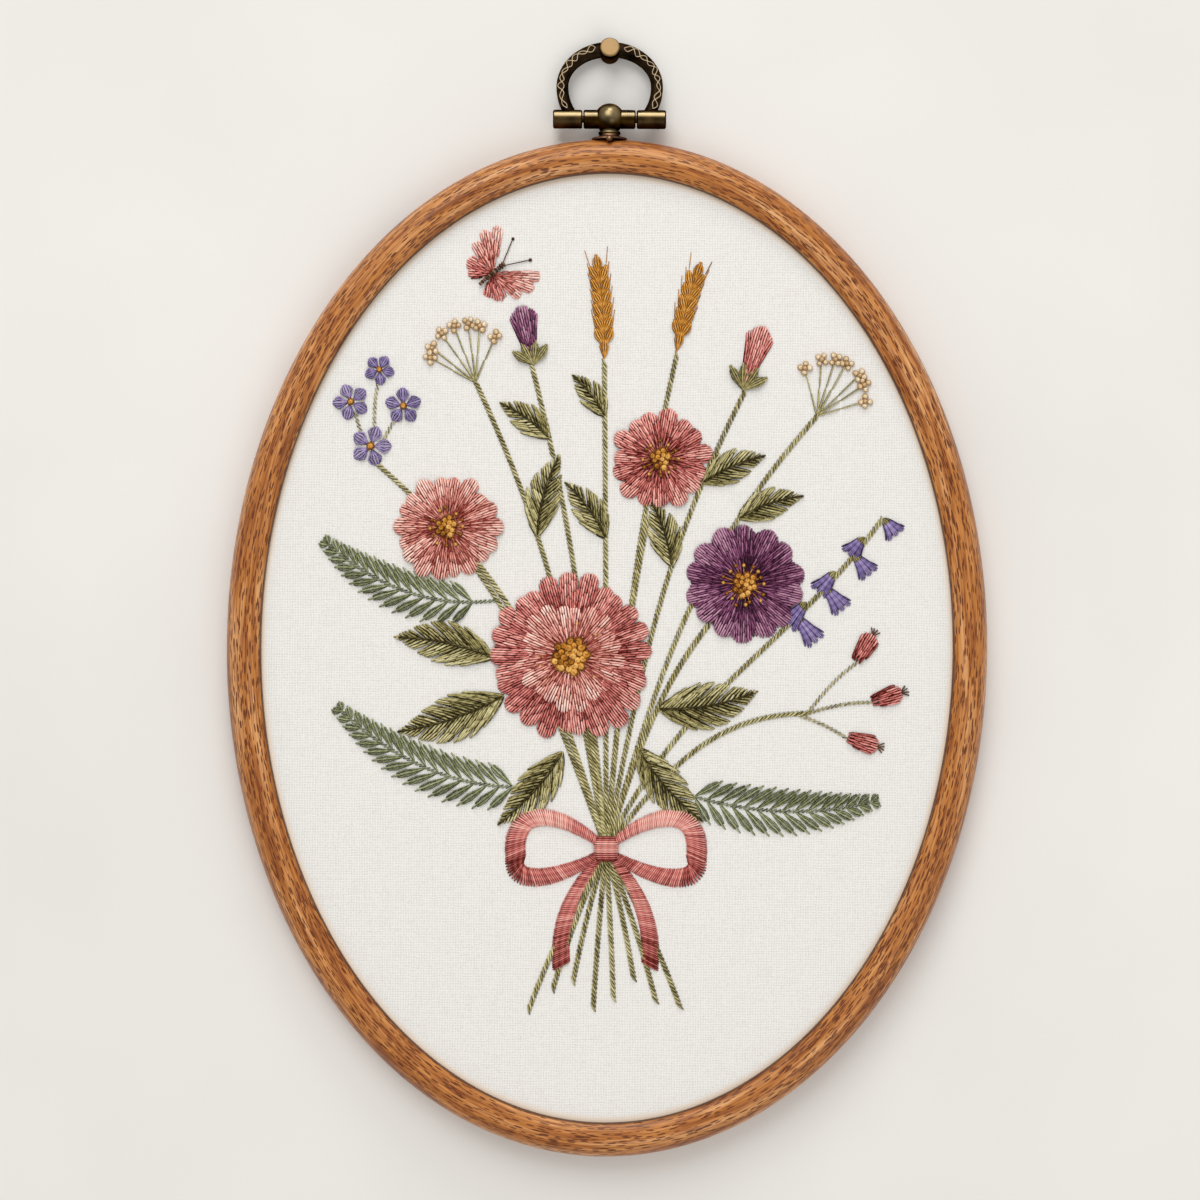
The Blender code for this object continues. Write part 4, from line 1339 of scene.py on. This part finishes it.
def bell(colour, top, angle, length, tone):
    """A hanging bell: stitches from a narrow cap to a flared, three-lobed mouth."""
    ahead = turned(angle)
    for k in range(13):
        side = -1 + k / 6
        lobed = abs(math.cos(1.5 * math.pi * side))
        cap = top + 1j * ahead * side * 0.9
        waist = top + ahead * length * 0.5 + 1j * ahead * side * 1.75
        mouth = top + ahead * length * (0.88 + 0.14 * lobed) + 1j * ahead * side * 2.9
        shade = tone + 0.22 * abs(side) + 0.35 * (1 - lobed) ** 2 + dice.uniform(-0.12, 0.12)
        path = [cap, between(cap, waist, 0.5), waist, between(waist, mouth, 0.6), mouth]
        fan_stitch(colour, path, shade, 0.25 * (1 - side * side), 0.55)
    dot_petal("green", top - ahead * 0.9, angle, 2.1, 1.7, 0.5, 4)


# %% Buds, wheat and fern
def bud(colour, foot, angle, length, tones, width=7.5):
    """A closed bud: two side petals, a middle one over them, and a green cup."""
    ahead = turned(angle)
    for side in (-1, 1):
        tip = foot + ahead * length * 0.90 + side * 1j * ahead * width * 0.30
        lobe(colour, foot + side * 0.3j * ahead, tip, width * 0.50, [tone + 0.14 for tone in tones],
             -0.10 * side, 0.5, 0.05, waist=0.45)
    lobe(colour, foot, foot + ahead * length, width * 0.58, tones, 0.0, 0.7, 0.35, waist=0.35)
    for lean in (-46, 46, -16, 16):
        dot_petal("green", foot - ahead * 1.6, angle + lean, length * 0.46, 1.9, 0.4, 4, base=0.45)


def ear(foot, angle, grains, curve, step=3.1):
    """An ear of wheat: paired grains up a stalk, each with a fine awn, and one grain at the top."""
    place = foot
    for i in range(grains):
        upward = angle + curve * i
        for lean in ((-24, 24) if i else (0,)):
            dot_petal("ochre", place, upward + lean, 5.2, 1.9, 0.35, 4, base=0.05)
            tip = place + 5.0 * turned(upward + lean)
            awn = (4.8 + dice.uniform(-0.6, 0.6)) * turned(upward + lean * 0.45)
            stitch("ochre", tip, tip + awn, 0.55, thick=0.2, ends=(-0.1, -0.1), lift=0.3)
        place += turned(upward) * step
    dot_petal("ochre", place - turned(angle) * step * 0.3, angle + curve * grains, 5.4, 2.0, 0.3, 4,
              base=0.05)


def frond(controls, reach, tone=0.4, step=3.1, lean=46):
    """A fern frond: a fine stem with paired leaflets that shorten towards the tip."""
    stem("sage", controls, 0.9, tone + 0.15)
    points = evenly(controls, step)
    for i in range(2, len(points)):
        if is_covered(points[i]):
            continue
        share = i / (len(points) - 1)
        size = reach * math.sin(math.pi * (0.22 + 0.72 * share)) + 0.8
        ahead = heading(points, i)
        for side in (-1, 1):
            angle = math.degrees(cmath.phase(ahead)) + side * lean * (1 - 0.35 * share)
            dot_petal("sage", points[i] + side * 1j * ahead * 0.25, angle, size, 1.5, tone + 0.06 * side, 3)


# %% Cow parsley and rose hips
def umbel(foot, angle, length, rays=7, spread=42):
    """A flat head of tiny flowers: fine rays from one point, a few knots on the end of each."""
    for i in range(rays):
        lean = spread * (-1 + 2 * i / (rays - 1)) + dice.uniform(-3, 3)
        end = foot + turned(angle + lean) * length * (1 - 0.16 * (abs(lean) / spread) ** 2)
        stitch("green", foot, between(foot, end, 0.52), 0.35, thick=0.42, lift=0.4)
        stitch("green", between(foot, end, 0.48), end, 0.30, thick=0.40, lift=0.4)
        for k in range(4):
            aside = turned(90 * k + 30 * i + dice.uniform(-15, 15)) * 1.15
            knot("cream", end + aside, 1.75, dice.uniform(0.05, 0.55), height=0.1)
        knot("cream", end, 1.5, 0.7, height=0.5)


def hip(foot, angle, length=8.0):
    """A rose hip: a padded oval with a dark crown."""
    tip, crown = foot + turned(angle) * length, foot + turned(angle) * length * 0.92
    lobe("rose", foot, tip, length * 0.62, (0.35, 0.85), 0.0, 0.6, 0.2, waist=0.55)
    for lean in (-34, -12, 12, 34):
        stitch("brown", crown, crown + turned(angle + lean) * 2.3, 0.5, thick=0.34, ends=(0.2, 0.0), lift=0.4)


# %% Butterfly
WING_LOBES = (("rose", 138, 0.62, 0.32, (0.3, 0.9)), ("rose", 112, 0.72, 0.34, (0.2, 0.9)),
              ("blush", 78, 0.92, 0.30, (0.15, 1.0)), ("blush", 60, 1.12, 0.30, (0.1, 1.0)),
              ("blush", 43, 1.22, 0.26, (0.0, 1.0)))


def butterfly(centre, angle, size):
    """Two long fore wings and two round hind wings, made of lobes, a slim body and two feelers."""
    ahead = turned(angle)
    for side in (-1, 1):
        for colour, lean, reach, wide, tones in WING_LOBES:
            out = turned(angle + side * lean)
            lobe(colour, centre + out * 0.6, centre + out * size * reach, size * wide, tones, 0.0, 0.3, 0.05,
                 waist=0.25, length=2.6)
        tip = centre + ahead * size * 0.95 + side * 1j * ahead * size * 0.34
        stitch("brown", centre + ahead * 3.0, tip, 0.6, thick=0.28, ends=(0.3, 0.1), lift=0.3)
        knot("brown", tip, 1.0, 0.7)
    for i in range(11):
        place = centre + ahead * (3.6 - 0.75 * i)
        half = 1j * ahead * (0.62 - 0.03 * i)
        stitch("brown", place - half, place + half, 0.35 + 0.4 * (i % 2), thick=0.75, ends=(0.6, 0.6),
               lift=0.5, wobble=0.03)


# %% Ribbon and bow
def ribbon(colour, controls, width, tone, twist, start, base):
    """Satin stitch straight across a band that follows a path. It starts with a share of its width."""
    path = evenly(controls, 0.50)
    for i, point in enumerate(path):
        share = i / (len(path) - 1)
        half = width / 2 * (start + (1.0 - start) * math.sin(math.pi * min(1.0, share * 1.05) / 2))
        across = heading(path, i) * turned(90 - twist)
        shade = tone + 0.22 * math.cos(math.pi * 2.0 * share) + dice.uniform(-0.13, 0.13)
        stitch(colour, point - across * half, point + across * half, shade, ends=(base - 0.3, base - 0.3),
               lift=0.5, wobble=0.03, under=False)


def bow(colour, centre):
    """A ribbon tied in a bow, in satin stitch: two tails, two loops and the knot over them."""
    for side in (-1, 1):
        tail = [centre + complex(side * x, y) for x, y in ((0, 0), (7, -9), (12, -16), (11, -29))]
        ribbon(colour, tail, 5.0, 0.55, side * 24, 0.45, 0.35)
        for high, tone, base in ((-9, 0.62, 0.35), (11, 0.32, 0.65)):
            turns = ((0, 0), (8, high * 0.7), (24, high * 1.25), (22.5, -2))
            loop = [centre + complex(side * x, y) for x, y in turns]
            ribbon(colour, loop, 5.4, tone, side * 20, 0.30, base)
    for i in range(12):
        place = centre + complex(0, 3.0 - 0.52 * i)
        half = 3.1 - 0.02 * (i - 5.5) ** 2
        stitch(colour, place - half, place + half, 0.25 + 0.02 * (i - 5) ** 2, ends=(0.85, 0.85), lift=0.75,
               wobble=0.03, under=False)


# %% [markdown]
# ## The posy
# A hand-tied posy, fanned out over the cloth: roses, an anemone, two buds, bluebells, forget-me-nots, cow
# parsley, wheat, rose hips and fern, tied with a ribbon, and a butterfly. The blooms are planned first,
# because no stem is sewn under them, then the leaves, then what stands between them, and the stems last.

# %% Blooms
TIE = complex(0, -50)
DOUBLE_ROSE, LEFT_ROSE, UPPER_ROSE = complex(-9, -2), complex(-40, 30), complex(13, 47)
ANEMONE = complex(34, 16)

bloom("rose", DOUBLE_ROSE, 23.0, 5, 92, (0.08, 0.92), lobes=5, notch=0.08, height=0.7)
bloom("blush", DOUBLE_ROSE, 15, 5, 56, (0.0, 0.85), lobes=4, notch=0.05, height=0.6, base=0.75)
bloom("blush", LEFT_ROSE, 14.5, 6, 60, (0.05, 0.95), lobes=3, notch=0.04, height=0.6)
bloom("rose", UPPER_ROSE, 13.5, 5, 80, (0.02, 0.90), lobes=3, notch=0.04, height=0.6)
bloom("plum", ANEMONE, 15.5, 7, 77, (0.02, 0.90), lobes=2, height=0.6)
for centre, radius, count, size in ((DOUBLE_ROSE, 4.8, 18, 3.2), (LEFT_ROSE, 2.9, 12, 2.3),
                                    (UPPER_ROSE, 2.8, 12, 2.3), (ANEMONE, 3.3, 16, 2.3)):
    stamens(centre, radius, count, size)
say_planned("the blooms")

# %% Leaves
TIPS = {"left_parsley": complex(-33, 66), "plum_bud": complex(-19, 70), "left_wheat": complex(-1, 71),
        "right_wheat": complex(17, 73), "rose_bud": complex(34, 64), "right_parsley": complex(52, 58),
        "forget_me_nots": complex(-58, 46), "hips": complex(50, -16), "bells": complex(68, 32)}


def way(tip, lean=1.6):
    """The controls of a stem that leaves the tie nearly upright and arches outwards."""
    far, side = abs(tip - TIE), math.degrees(cmath.phase(tip - TIE)) - 90
    low = TIE + 0.42 * far * turned(90 + 0.65 * side)
    high = tip - 0.38 * far * turned(90 + lean * side)
    return [TIE, low, high, tip]


def sprout(name, share, angle, length, width, bend):
    """A leaf that grows from a stem at a share of its way, at an angle to it."""
    controls = way(TIPS[name])
    base = bezier(controls, share)
    ahead = bezier(controls, share + NEAR) - base
    leaf("green", base, base + length * ahead / abs(ahead) * turned(angle), width, bend)


for base, tip, width, bend in (
        (complex(-25.8, -12), complex(-52, -21), 12, 0.10),
        (complex(-28.4, -2.5), complex(-53, 2.5), 11, -0.10),
        (complex(13, -15), complex(37.5, -10.5), 12, -0.12),
        (complex(-11, -26), complex(-27, -44), 10, 0.10),
        (complex(8, -25), complex(24, -43), 10, -0.10)):
    leaf("green", base, tip, width, bend)
for name, share, angle, length, width, bend in (
        ("left_parsley", 0.66, -34, 21, 9, 0.12), ("plum_bud", 0.86, 42, 15, 7.5, -0.10),
        ("left_wheat", 0.64, 36, 17, 8, -0.10), ("left_wheat", 0.90, 38, 13, 6.5, -0.10),
        ("rose_bud", 0.80, -44, 17, 8.5, 0.10), ("rose_bud", 0.60, 36, 17, 8.5, -0.10),
        ("right_parsley", 0.74, -38, 17, 8, 0.12)):
    sprout(name, share, angle, length, width, bend)
say_planned("the leaves")

# %% What stands between them
bells_way = way(TIPS["bells"], 0.9)        # arched less than the other stems

bud("rose", complex(34, 66), 72, 15, (0.02, 0.60))
bud("plum", complex(-19, 72), 102, 13.5, (0.12, 0.7))
ear(complex(-1, 72), 91, 7, 1.0)
ear(complex(17, 74), 80, 6, -1.5)
for i, (place, size) in enumerate(((complex(-59, 50), 9.5), (complex(-51, 60), 8.5), (complex(-64, 61), 8.5),
                                   (complex(-57, 69), 7.0))):
    small_flower("lilac", place, size, 20 * i, 0.15 + 0.1 * (i % 2))
umbel(TIPS["left_parsley"], 112, 15)
umbel(TIPS["right_parsley"], 60, 15)
for i in range(7):
    side = -1 if i % 2 else 1
    bell("lilac", bezier(bells_way, 0.70 + 0.05 * i) + side * 1.2, -90 + side * 38, 7.2 - 0.45 * i,
         0.25 + 0.1 * (i % 2))
for place, angle in ((complex(62, -3), 58), (complex(66, -13), 18), (complex(60, -22), -16)):
    hip(place, angle)
butterfly(complex(-29, 93), 40, 10.0)
frond([complex(-14, -34), complex(-42, -38), complex(-66, -16)], 8.5)
frond([complex(16, -35), complex(42, -44), complex(66, -38)], 8.5)
frond([complex(-27.6, 11.8), complex(-50, 8.6), complex(-69.5, 25.5)], 8.0)
say_planned("what stands between them")

# %% Stems and ribbon
for name, tip in TIPS.items():
    stem("green", bells_way if name == "bells" else way(tip), STEM_WIDTH, 0.35 + 0.1 * dice.random())
for tip in (DOUBLE_ROSE, LEFT_ROSE, UPPER_ROSE, ANEMONE):
    stem("green", way(tip), 1.35, 0.4)
for start, end in (
        (TIPS["hips"], complex(62, -3.5)), (TIPS["hips"], complex(65.5, -13.2)),
        (bezier(way(TIPS["hips"]), 0.95), complex(59.5, -22)), (TIPS["forget_me_nots"], complex(-52, 58)),
        (complex(-59, 48), complex(-63, 59)), (complex(-58, 52), complex(-57, 67))):
    stem("green", [start, between(start, end, 0.6) + (end - start) * 0.08j, end], 0.9, 0.35)
for k, x in enumerate((-19, -13, -8, -3, 2, 7, 12.5, 18.5)):
    end = complex(x, -86 - 4 * math.cos(k * 1.9))
    stem("green", [TIE, between(TIE, end, 0.5) + x * 0.12, end], 1.3, 0.3 + 0.07 * (k % 4))
bow("rose", TIE)
say_planned("the stems and the ribbon")

# %% [markdown]
# ## Sewing
# Each stitch of the plan becomes a guide line on the linen: up through the cloth, over and down again. A
# thread that goes down in one hole and comes up in another crosses the back of the cloth, so the back gets
# its lines too, with a row of short stitches behind each stem. All of them follow the dips of the linen.

# %% Guide lines on the face
FACE_HALF = (OVAL[0] - LINEN_SIDE - LINEN_BEND, OVAL[1] - LINEN_SIDE - LINEN_BEND)
# A stitch at some shares of its way: how high it is, as a share of its lift, and how thick.
ARCH = ((0.0, -0.35, 0.6), (0.14, 0.80, 0.95), (0.5, 1.0, 1.0), (0.86, 0.80, 0.95), (1.0, -0.35, 0.6))


def on_cloth(point, height=0.0):
    """A point of the plan, in mm, as a place on the linen or so many mm over it."""
    x, y = point.real * MM, point.imag * MM
    share = math.hypot(x / FACE_HALF[0], y / FACE_HALF[1])
    return MIDDLE + Vector((x, y, LINEN_TOP + pull(0.0, min(1.0, share)) + height * MM))


def sewn(start, end, tone, thick, ends, lift):
    """A stitch as a line of guide points."""
    line = []
    for share, rise, girth in ARCH:
        place = on_cloth(between(start, end, share), between(*ends, share) + lift * rise)
        line.append((place, thick * girth * MM, tone))
    return line


def looped(path, tone, thick, base, lift):
    """A curved thread as a line of guide points. Its two ends go down into the cloth."""
    line = []
    for i, point in enumerate(path):
        share = i / (len(path) - 1)
        rise = math.sin(math.pi * (0.04 + 0.92 * share)) ** 0.6
        down = 0.25 if share in (0, 1) else 0.0
        line.append((on_cloth(point, base + lift * rise - down), thick * (0.6 + 0.4 * rise) * MM, tone))
    return line


# %% Guide lines on the back
UNDERSIDE = 0.7                    # the finish paints shade on a thread's underside, which is the side that shows here: its tone is lightened by this much
BACK = -LINEN_THICK / MM
UNDER_ARCH = ((0.0, 0.1, 0.6), (0.5, -0.18, 0.9), (1.0, 0.1, 0.6))
CARRIED = (1.5, 16)                # in mm: a nearer hole needs no thread, and for a further one it is cut


def carried(down, up, tone, thick):
    """The thread on the back, from where one stitch goes down to where the next one comes up."""
    line = []
    for share, rise, girth in UNDER_ARCH:
        line.append((on_cloth(between(down, up, share), rise + BACK), thick * girth * MM, tone - UNDERSIDE))
    return line


def reverse_side(work):
    """What the back of the cloth shows of a skein: threads carried back, and a row of short stitches for a
    stem."""
    lines = []
    for here, after in zip(work["stitches"], work["stitches"][1:]):
        if CARRIED[0] < abs(after[0] - here[1]) < CARRIED[1]:
            lines.append(carried(here[1], after[0], after[2], after[3]))
    lines += [carried(path[-1], path[0], tone, thick) for path, tone, thick, _, _ in work["loops"]]
    for run, _, tone in work["stems"]:
        lines.append([(on_cloth(point, -0.1 + BACK), (0.3 + 0.2 * (i % 2)) * MM, tone - UNDERSIDE)
                      for i, point in enumerate(run)])
    return lines


# %% Sew the plan
def sew(kind, name, lines, tree):
    """Runs a tree on a colour's guide lines, where it has any. What it makes rides on the one body."""
    if lines:
        piece = run_tree(f"{kind}_{name}", guide_lines(name, lines), tree, finishes[name])
        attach(piece, "root")
        print(f"{piece.name}: {triangle_count(piece)} triangles")


for name, work in skeins.items():
    lines = [sewn(*plan) for plan in work["stitches"]] + [looped(*plan) for plan in work["loops"]]
    sew("stitches", name, lines + reverse_side(work), THREADS)
    sew("stems", name, [[(on_cloth(point, 0.12), width / STEM_WIDTH, tone) for point in run]
                        for run, width, tone in work["stems"]], STEMS)
    sew("knots", name, [[(on_cloth(place, height + 0.12 * size), size * MM, tone)]
                        for place, size, tone, height in work["knots"]], KNOTS)
